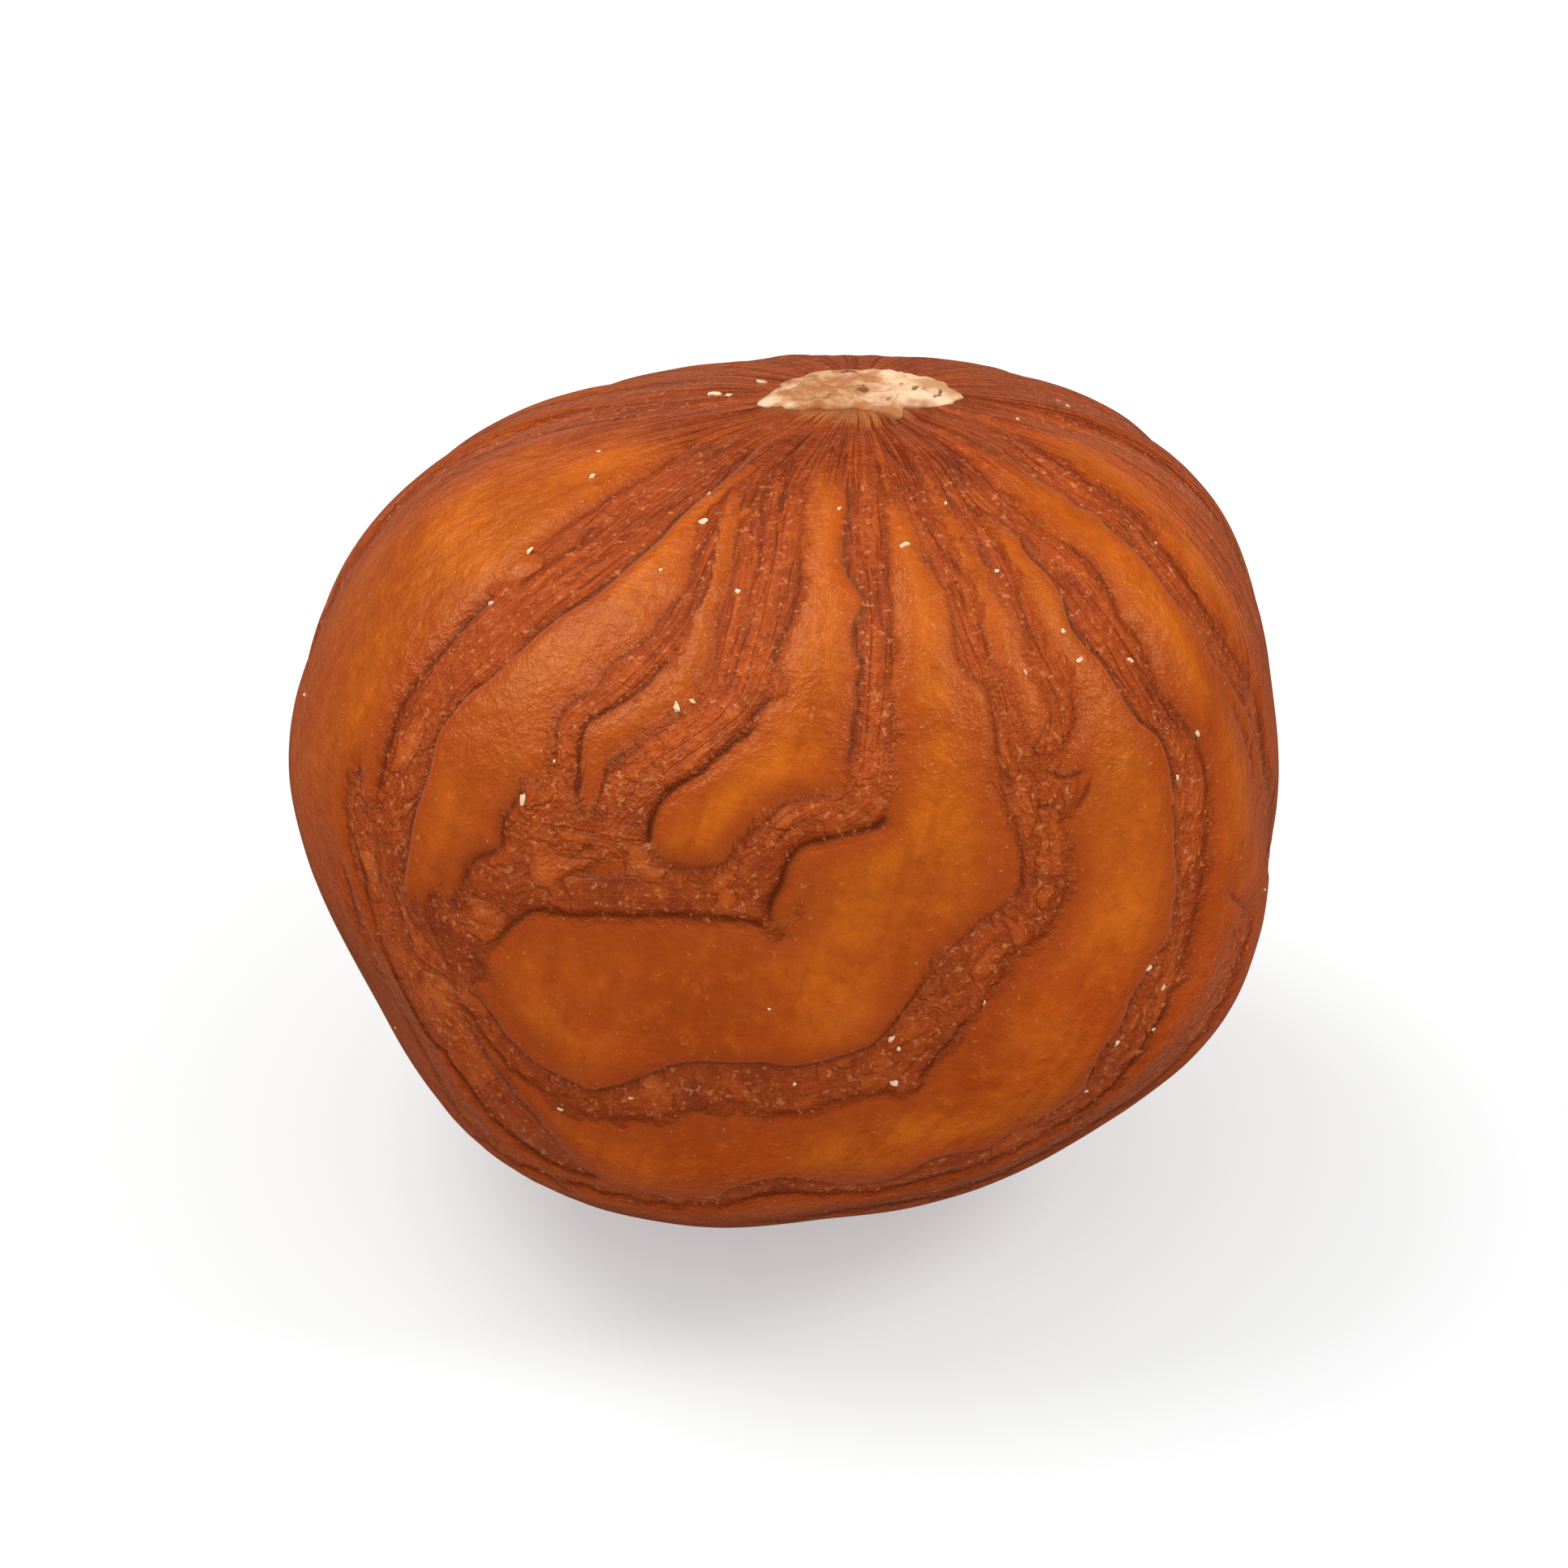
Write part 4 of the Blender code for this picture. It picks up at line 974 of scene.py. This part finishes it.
def scar_material(colours):
    material, tree, shader = new_material("kernel scar")
    place = object_place(tree)
    patch = read_attribute(tree, "patch", "Vector")
    cork = pale_cork(tree, place, SCAR_CORK, colours)
    away = node(tree, "ShaderNodeVectorMath", operation="DISTANCE")
    tree.links.new(stretch(tree, patch, (1.0, 0.7, 0.0)), away.inputs[0])
    away.inputs[1].default_value = (-0.25, 0.15, 0.0)
    patchy = calculate(tree, "MULTIPLY_ADD", noise_value(tree, place, SCAR_PATCHES, 5.0, 0.7), 1.6, -0.8)
    stained = between(tree, calculate(tree, "ADD", away.outputs["Value"], patchy), 0.15, 0.85, 0.90, 0.0)
    mottle = between(tree, noise_value(tree, place, STAIN_MOTTLES, 3.0), 0.46, 0.66)
    brown = lay_over(tree, colour(colours.stain), mottle, colours.scar_deep)
    cork = mix_colours(tree, stained, cork, brown)
    split = node(tree, "ShaderNodeSeparateXYZ")
    tree.links.new(patch, split.inputs[0])
    forwards = calculate(tree, "ADD", split.outputs["Y"], calculate(tree, "MULTIPLY", patchy, 0.6))
    cork = lay_over(tree, cork, between(tree, forwards, -0.25, -0.70, 0.0, 0.85), colours.stain)
    pits = noise_value(tree, place, SCAR_PITS, 2.0)
    cork = lay_over(tree, cork, between(tree, pits, 0.37, 0.30, 0.0, 0.9), colours.pit)
    tree.links.new(cork, shader.inputs["Base Color"])
    shader.inputs["Roughness"].default_value = 0.85
    shader.inputs["Specular IOR Level"].default_value = 0.25
    bump = node(tree, "ShaderNodeBump")
    bump.inputs["Strength"].default_value = 0.8
    bump.inputs["Distance"].default_value = 0.08 * MM
    tree.links.new(noise_value(tree, place, SCAR_GRAINS, 5.0, 0.65), bump.inputs["Height"])
    tree.links.new(bump.outputs["Normal"], shader.inputs["Normal"])
    return material


def crumb_material(colours):
    material, tree, shader = new_material("kernel crumbs")
    place = object_place(tree)
    cream = lay_over(tree, pale_cork(tree, place, CRUMB_CORK, colours), 0.65, colours.crumb)
    tree.links.new(cream, shader.inputs["Base Color"])
    shader.inputs["Roughness"].default_value = 0.8
    return material


def stand_in_for_kernel(piece, replaces):
    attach(piece, "root")
    if replaces:
        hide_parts("kernel")


class KernelShape(bpy.types.PropertyGroup):
    """Sizes of the kernel's fine relief."""

    near_share: FloatProperty(
        name="Near share", description="How far the skin's cells crowd towards the near side", default=0.28)
    skin_cells: IntProperty(
        name="Skin cells", default=128,
        description="Cells along each edge of the cube that becomes the skin, an even number")
    vein_share: FloatProperty(
        name="Vein share", description="How much of their full depth the veins have", default=0.24)
    step_height: FloatProperty(
        name="Step height", description="Height of the step where a band ends at a crease",
        default=0.045 * MM, subtype="DISTANCE", precision=6)
    step_width: FloatProperty(
        name="Step width", description="Width of the step where a band ends at a crease",
        default=0.14 * MM, subtype="DISTANCE", precision=6)
    bed_half_width: FloatProperty(
        name="Bed half width", description="How far the bed of a band keeps sloping down to its crease",
        default=0.40 * MM, subtype="DISTANCE", precision=6)
    edge_wander: FloatProperty(
        name="Edge wander", description="How far the edge of a vein band wanders",
        default=0.07 * MM, subtype="DISTANCE", precision=6)
    bank_outside: FloatProperty(
        name="Bank outside", description="How far outside its edge a band starts to sink",
        default=0.32 * MM, subtype="DISTANCE", precision=6)
    bank_inside: FloatProperty(
        name="Bank inside", description="How far inside its edge a band is at its full depth",
        default=0.22 * MM, subtype="DISTANCE", precision=6)
    crease_depth: FloatProperty(
        name="Crease depth", description="Depth of the sharpest creases",
        default=0.05 * MM, subtype="DISTANCE", precision=6)
    crease_half_width: FloatProperty(
        name="Crease half width", description="Half the width of a crease",
        default=0.08 * MM, subtype="DISTANCE", precision=6)
    ridge_crown: FloatProperty(
        name="Ridge crown", description="How far the ridges swell above their edges",
        default=0.05 * MM, subtype="DISTANCE", precision=6)
    crown_half_width: FloatProperty(
        name="Crown half width", description="How far from its edge a ridge reaches most of its height",
        default=0.55 * MM, subtype="DISTANCE", precision=6)
    wrinkle_height: FloatProperty(
        name="Wrinkle height", description="Height of the wrinkles inside the bands",
        default=0.035 * MM, subtype="DISTANCE", precision=6)
    rib_height: FloatProperty(
        name="Rib height", description="Height of the fine ribs that run down from the tip",
        default=0.025 * MM, subtype="DISTANCE", precision=6)
    dent_height: FloatProperty(
        name="Dent height", description="Height of the gentle dents all over the skin",
        default=0.05 * MM, subtype="DISTANCE", precision=6)
    body_middle: FloatVectorProperty(
        name="Body middle", description="Where the middle of the smooth body lies, set with the skin",
        subtype="XYZ", precision=6)
    scar_lift: FloatProperty(
        name="Scar lift", description="Height of the scar's rim above the skin",
        default=0.13 * MM, subtype="DISTANCE", precision=6)
    scar_root: FloatProperty(
        name="Scar root", description="How far the scar reaches into the skin",
        default=0.30 * MM, subtype="DISTANCE", precision=6)
    scar_hollow: FloatProperty(
        name="Scar hollow", description="How far the middle of the scar lies below its rim",
        default=0.05 * MM, subtype="DISTANCE", precision=6)
    scar_roughness: FloatProperty(
        name="Scar roughness", description="Height of the corky grain of the scar",
        default=0.07 * MM, subtype="DISTANCE", precision=6)
    crumb_share: FloatProperty(
        name="Crumb share", description="How much of their drawn width the crumbs have", default=0.72)
    crumb_stretch: FloatProperty(
        name="Crumb stretch", description="How unlike the crumbs' length and width are", default=0.6)
    crumb_flatness: FloatProperty(
        name="Crumb flatness", description="Height of a crumb as a share of its width", default=0.55)
    crumb_roughness: FloatProperty(
        name="Crumb roughness", description="How far a crumb's surface wanders, as a share of its width",
        default=0.35)


class KernelColours(bpy.types.PropertyGroup):
    """Colours of the skin, the scar and the crumbs."""

    ridge: FloatVectorProperty(
        name="Ridge", description="Plump ridges", subtype="COLOR", default=(0.37, 0.050, 0.001))
    ridge_high: FloatVectorProperty(
        name="Ridge, high", description="Plump ridges near the tip", subtype="COLOR",
        default=(0.335, 0.066, 0.003))
    ridge_deep: FloatVectorProperty(
        name="Ridge, deep", description="Darker clouds on the ridges", subtype="COLOR",
        default=(0.27, 0.036, 0.001))
    # Used near the bands and towards the bottom of the ridges: partly the skin's own deeper red, partly
    # painted shade.
    ridge_edge: FloatVectorProperty(
        name="Ridge, edge", description="Ridges where they near a band", subtype="COLOR",
        default=(0.28, 0.038, 0.004))
    ridge_light: FloatVectorProperty(
        name="Ridge, light", description="Pale flecks on the ridges", subtype="COLOR",
        default=(0.49, 0.107, 0.003))
    band: FloatVectorProperty(
        name="Band", description="Sunken vein bands", subtype="COLOR", default=(0.345, 0.047, 0.003))
    # Also laid into the bed of a band beside its crease as painted shade.
    band_deep: FloatVectorProperty(
        name="Band, deep", description="Dark strands of the bands", subtype="COLOR",
        default=(0.20, 0.023, 0.004))
    band_light: FloatVectorProperty(
        name="Band, light", description="Pale strands of the bands", subtype="COLOR",
        default=(0.49, 0.099, 0.014))
    # Painted sheen: laid on where the skin is seen at a flat angle, in place of a grazing reflection.
    rim: FloatVectorProperty(
        name="Rim", description="Dull bloom where the skin is seen at a flat angle", subtype="COLOR",
        default=(0.345, 0.086, 0.038))
    # Partly dry dust, partly painted glints that stand in for tiny highlights.
    dust_and_glint: FloatVectorProperty(
        name="Dust", description="Dry pale dust in the bands", subtype="COLOR", default=(0.46, 0.15, 0.05))
    # Painted shade: laid along the creases and the edges of the bands; also the thin dark lines between
    # strands and ribs.
    crease: FloatVectorProperty(
        name="Crease", description="Thin dark creases", subtype="COLOR", default=(0.12, 0.015, 0.003))
    scar: FloatVectorProperty(
        name="Scar", description="Pale cork of the scar", subtype="COLOR", default=(0.59, 0.40, 0.25))
    scar_deep: FloatVectorProperty(
        name="Scar, deep", description="Darker cork of the scar", subtype="COLOR",
        default=(0.36, 0.18, 0.07))
    fringe: FloatVectorProperty(
        name="Fringe", description="Skin that frays into the scar", subtype="COLOR",
        default=(0.42, 0.15, 0.045))
    pit: FloatVectorProperty(
        name="Pit", description="Dark pits in the scar", subtype="COLOR", default=(0.12, 0.04, 0.012))
    stain: FloatVectorProperty(
        name="Stain", description="Brown stain on the scar", subtype="COLOR", default=(0.27, 0.078, 0.012))
    crumb: FloatVectorProperty(
        name="Crumb", description="Cream of the crumbs", subtype="COLOR", default=(0.66, 0.47, 0.30))


class StageSetup(bpy.types.PropertyGroup):
    """The floor, the lights and the camera."""

    floor_colour: FloatVectorProperty(
        name="Floor", description="Colour of the pale floor", subtype="COLOR", default=(0.36, 0.37, 0.37))
    floor_glow: FloatProperty(
        name="Floor glow", description="Light that the floor gives, as a light table does", default=0.43)
    eye_height: FloatProperty(
        name="Eye height", description="Angle of the camera above the floor",
        default=SEEN_FROM_ABOVE, subtype="ANGLE")
    view_width: FloatProperty(
        name="View width", description="Width of what the camera sees at the kernel",
        default=25.0 * MM, subtype="DISTANCE", precision=5)
    lens: FloatProperty(name="Lens", description="Focal length of the camera in millimetres", default=420.0)
    key_power: FloatProperty(
        name="Key power", description="Power of the large soft light", default=0.84, subtype="POWER")
    side_power: FloatProperty(
        name="Side power", description="Power of the small light at the right", default=0.36,
        subtype="POWER")
    sky: FloatProperty(name="Sky", description="Strength of the light from all sides", default=1.15)


class KERNEL_OT_skin(bpy.types.Operator):
    """Model the wrinkled skin over the whole kernel"""

    bl_idname = "kernel.skin"
    bl_label = "Kernel skin"

    def execute(self, context):
        shape = context.scene.kernel_shape
        deselect_all()
        bpy.ops.mesh.primitive_cube_add(size=2.0, location=(0.0, 0.0, 0.0))
        piece = context.object
        piece.name = "kernel_skin"
        bpy.ops.object.mode_set(mode="EDIT")
        bpy.ops.mesh.select_all(action="SELECT")
        bpy.ops.mesh.subdivide(number_cuts=shape.skin_cells // 2 - 1)
        bpy.ops.mesh.subdivide(number_cuts=1)
        bpy.ops.object.mode_set(mode="OBJECT")
        corners = mesh_points(piece.data)
        near_side = np.array([0.0, -math.cos(SEEN_FROM_ABOVE), math.sin(SEEN_FROM_ABOVE)])
        directions = unit(unit(np.tan(corners * math.pi / 4.0)) + shape.near_share * near_side)
        smooth = on_body(directions)
        fields = SkinFields(smooth, shape)
        points, shift = rest_on_floor(smooth + directions * skin_relief(fields, shape)[:, None])
        context.scene.kernel_shape.body_middle = -Vector(shift)
        set_mesh_points(piece.data, points)
        add_values(piece.data, "band_edge", fields.edge / MM)
        add_values(piece.data, "crease", fields.crease / MM)
        add_values(piece.data, "crease_side", fields.crease_side / MM)
        add_values(piece.data, "crease_strength", fields.crease_strength)
        add_values(piece.data, "ribbed", fields.ribbed)
        add_values(piece.data, "seam", fields.seam / MM)
        add_values(piece.data, "from_scar", fields.from_scar / MM)
        add_vectors(piece.data, "grain", np.column_stack([fields.grain, np.zeros(len(smooth))]))
        add_vectors(piece.data, "tipwise", tipwise(smooth) / MM)
        bpy.ops.object.shade_smooth()
        piece.data.materials.append(skin_material(context.scene.kernel_colours))
        stand_in_for_kernel(piece, replaces=True)
        return {"FINISHED"}


class KERNEL_OT_scar(bpy.types.Operator):
    """Model the ragged pale scar at the tip, sunk into the skin"""

    bl_idname = "kernel.scar"
    bl_label = "Scar"

    def execute(self, context):
        shape = context.scene.kernel_shape
        deselect_all()
        bpy.ops.mesh.primitive_uv_sphere_add(segments=160, ring_count=70, radius=1.0)
        piece = context.object
        piece.name = "kernel_scar"
        ball = mesh_points(piece.data)
        turn = np.arctan2(ball[:, 1], ball[:, 0])
        share = np.clip(np.hypot(ball[:, 0], ball[:, 1]), 0.0, 1.0)
        ring = np.column_stack([np.cos(turn), np.sin(turn), np.zeros(len(turn))])
        reach = 0.98 + 0.12 * ripple(ring * 1.7 * MM, 1.0, 4.0) + 0.14 * ripple(ring * 4.2 * MM, 1.0, 9.0)
        tooth = np.exp(-(((ring[:, 0] - SCAR_TOOTH) / SCAR_TOOTH_HALF_WIDTH) ** 2))
        reach *= 1.0 - SCAR_FRONT_CUT * np.clip(-ring[:, 1], 0.0, 1.0) * (1.0 - tooth)
        patch = ring[:, :2] * (share * reach)[:, None]
        smooth = self.patch_points(patch)
        fields = SkinFields(smooth, shape)
        ground = skin_relief(fields, shape)
        rim = smoothstep(0.25, 0.70, share)
        bumps = ripple(smooth, 1.9, 2.0) + 0.7 * ripple(smooth, 4.5, 6.0)
        rise = shape.scar_lift - shape.scar_hollow * (1.0 - rim) + shape.scar_roughness * bumps
        height = np.where(ball[:, 2] > 0.0, rise * np.sqrt(np.abs(ball[:, 2])), 0.0)
        depth = np.where(ball[:, 2] < 0.0, shape.scar_root * np.sqrt(np.abs(ball[:, 2])), 0.0)
        points = smooth + unit(smooth) * (ground + height - depth - 0.02 * MM)[:, None]
        set_mesh_points(piece.data, points + np.array(shape.body_middle))
        add_vectors(piece.data, "patch", np.column_stack([patch, np.zeros(len(patch))]))
        bpy.ops.object.shade_smooth()
        piece.data.materials.append(scar_material(context.scene.kernel_colours))
        stand_in_for_kernel(piece, replaces=False)
        return {"FINISHED"}

    def patch_points(self, patch):
        """Points of the smooth body for places on the scar, in half sizes to the right and to the back."""
        tip, front, right = tip_frame()
        middle = on_body(tip[None, :])[0]
        flat = middle + np.outer(patch[:, 0] * SCAR_HALF_WIDTH, right)
        flat = flat - np.outer(patch[:, 1] * SCAR_HALF_DEPTH, front)
        return on_body(unit(flat))


class KERNEL_OT_crumbs(bpy.types.Operator):
    """Model the pale crumbs that stick to the skin, joined as one piece"""

    bl_idname = "kernel.crumbs"
    bl_label = "Crumbs"

    def execute(self, context):
        shape = context.scene.kernel_shape
        across, up, width = np.array(CRUMBS).T
        smooth = seen(across, up)
        fields = SkinFields(smooth, shape)
        places = smooth + unit(smooth) * skin_relief(fields, shape)[:, None] + np.array(shape.body_middle)
        deselect_all()
        made = []
        for number, (place, outward, size) in enumerate(zip(places, unit(smooth), width * MM)):
            turn = Vector(outward).to_track_quat("Z", "Y").to_euler()
            radius = size * shape.crumb_share / 2
            bpy.ops.mesh.primitive_ico_sphere_add(
                subdivisions=3, radius=radius, location=place, rotation=turn)
            crumb = context.object
            points = mesh_points(crumb.data)
            lumpy = [ripple(points, 1.7 * MM / size, number + 31.3 * way) for way in range(3)]
            set_mesh_points(crumb.data, points + np.column_stack(lumpy) * size * shape.crumb_roughness)
            stretched = 1.0 + shape.crumb_stretch * noise.noise((number * 1.7, 0.3, 0.9))
            crumb.scale = (stretched, 1.0 / stretched, shape.crumb_flatness)
            made.append(crumb)
        for crumb in made:
            crumb.select_set(True)
        context.view_layer.objects.active = made[0]
        bpy.ops.object.join()
        bpy.ops.object.transform_apply(location=True, rotation=True, scale=True)
        piece = context.object
        piece.name = "kernel_crumbs"
        bpy.ops.object.shade_smooth()
        piece.data.materials.append(crumb_material(context.scene.kernel_colours))
        stand_in_for_kernel(piece, replaces=False)
        return {"FINISHED"}


class KERNEL_OT_stage(bpy.types.Operator):
    """Lay the pale floor, and set the soft lights and the camera"""

    bl_idname = "kernel.stage"
    bl_label = "Stage"

    def execute(self, context):
        setup = context.scene.kernel_stage
        deselect_all()
        bpy.ops.mesh.primitive_plane_add(size=3.0, location=(0.0, 0.0, 0.0))
        floor = context.object
        floor.name = "floor"
        material, tree, shader = new_material("pale floor")
        cloudy = noise_value(tree, object_place(tree), FLOOR_WAVES)
        paler = [value * FLOOR_CLOUDS for value in setup.floor_colour]
        pale = lay_over(tree, colour(setup.floor_colour), cloudy, paler)
        tree.links.new(pale, shader.inputs["Base Color"])
        shader.inputs["Roughness"].default_value = 0.9
        shader.inputs["Specular IOR Level"].default_value = 0.1
        shader.inputs["Emission Color"].default_value = (1.0, 1.0, 1.0, 1.0)
        shader.inputs["Emission Strength"].default_value = setup.floor_glow
        floor.data.materials.append(material)
        floor.visible_glossy = False
        self.add_lights(context, setup)
        self.add_camera(context, setup)
        return {"FINISHED"}

    def add_lights(self, context, setup):
        middle = Vector((0.0, 0.0, (KERNEL_LOW.z + KERNEL_HIGH.z) / 2))
        for name, place, size, power in (
                ("softbox", Vector((-0.16, 0.07, 0.29)), 0.24, setup.key_power),
                ("side light", Vector((0.20, -0.02, 0.20)), 0.10, setup.side_power)):
            bpy.ops.object.light_add(type="AREA", location=place)
            light = context.object
            light.name = name
            light.data.shape = "DISK"
            light.data.size = size
            light.data.energy = power
            light.rotation_euler = (middle - place).to_track_quat("-Z", "Y").to_euler()
        world = bpy.data.worlds.new("soft sky")
        context.scene.world = world
        world.use_nodes = True
        world.node_tree.nodes["Background"].inputs["Color"].default_value = (1.0, 1.0, 1.0, 1.0)
        world.node_tree.nodes["Background"].inputs["Strength"].default_value = setup.sky
        world.cycles_visibility.glossy = False
        context.scene.view_settings.view_transform = "Standard"

    def add_camera(self, context, setup):
        middle = Vector((0.0, 0.0, (KERNEL_LOW.z + KERNEL_HIGH.z) / 2))
        to_eye = Vector((0.0, -math.cos(setup.eye_height), math.sin(setup.eye_height)))
        data = bpy.data.cameras.new("camera")
        data.lens = setup.lens
        data.clip_start = 0.01
        camera = bpy.data.objects.new("camera", data)
        context.scene.collection.objects.link(camera)
        away = setup.lens / data.sensor_width * setup.view_width
        camera.location = middle + to_eye * away
        camera.rotation_euler = (-to_eye).to_track_quat("-Z", "Y").to_euler()
        context.scene.camera = camera


class KERNEL_PT_panel(bpy.types.Panel):
    """Buttons for the kernel's pieces and their sizes and colours"""

    bl_idname = "KERNEL_PT_panel"
    bl_label = "Hazelnut kernel"
    bl_space_type = "VIEW_3D"
    bl_region_type = "UI"
    bl_category = "Kernel"

    def draw(self, context):
        for group in (context.scene.kernel_shape, context.scene.kernel_colours, context.scene.kernel_stage):
            box = self.layout.box()
            for name in group.__annotations__:
                box.prop(group, name)
        for operator in OPERATORS:
            self.layout.operator(operator.bl_idname)


OPERATORS = (KERNEL_OT_skin, KERNEL_OT_scar, KERNEL_OT_crumbs, KERNEL_OT_stage)
CLASSES = (KernelShape, KernelColours, StageSetup, *OPERATORS, KERNEL_PT_panel)


def register():
    for item in CLASSES:
        bpy.utils.register_class(item)
    bpy.types.Scene.kernel_shape = PointerProperty(type=KernelShape)
    bpy.types.Scene.kernel_colours = PointerProperty(type=KernelColours)
    bpy.types.Scene.kernel_stage = PointerProperty(type=StageSetup)


def unregister():
    del bpy.types.Scene.kernel_stage
    del bpy.types.Scene.kernel_colours
    del bpy.types.Scene.kernel_shape
    for item in reversed(CLASSES):
        bpy.utils.unregister_class(item)


def main():
    register()
    bpy.ops.kernel.skin()
    bpy.ops.kernel.scar()
    bpy.ops.kernel.crumbs()
    bpy.ops.kernel.stage()


if __name__ == "__main__":
    main()
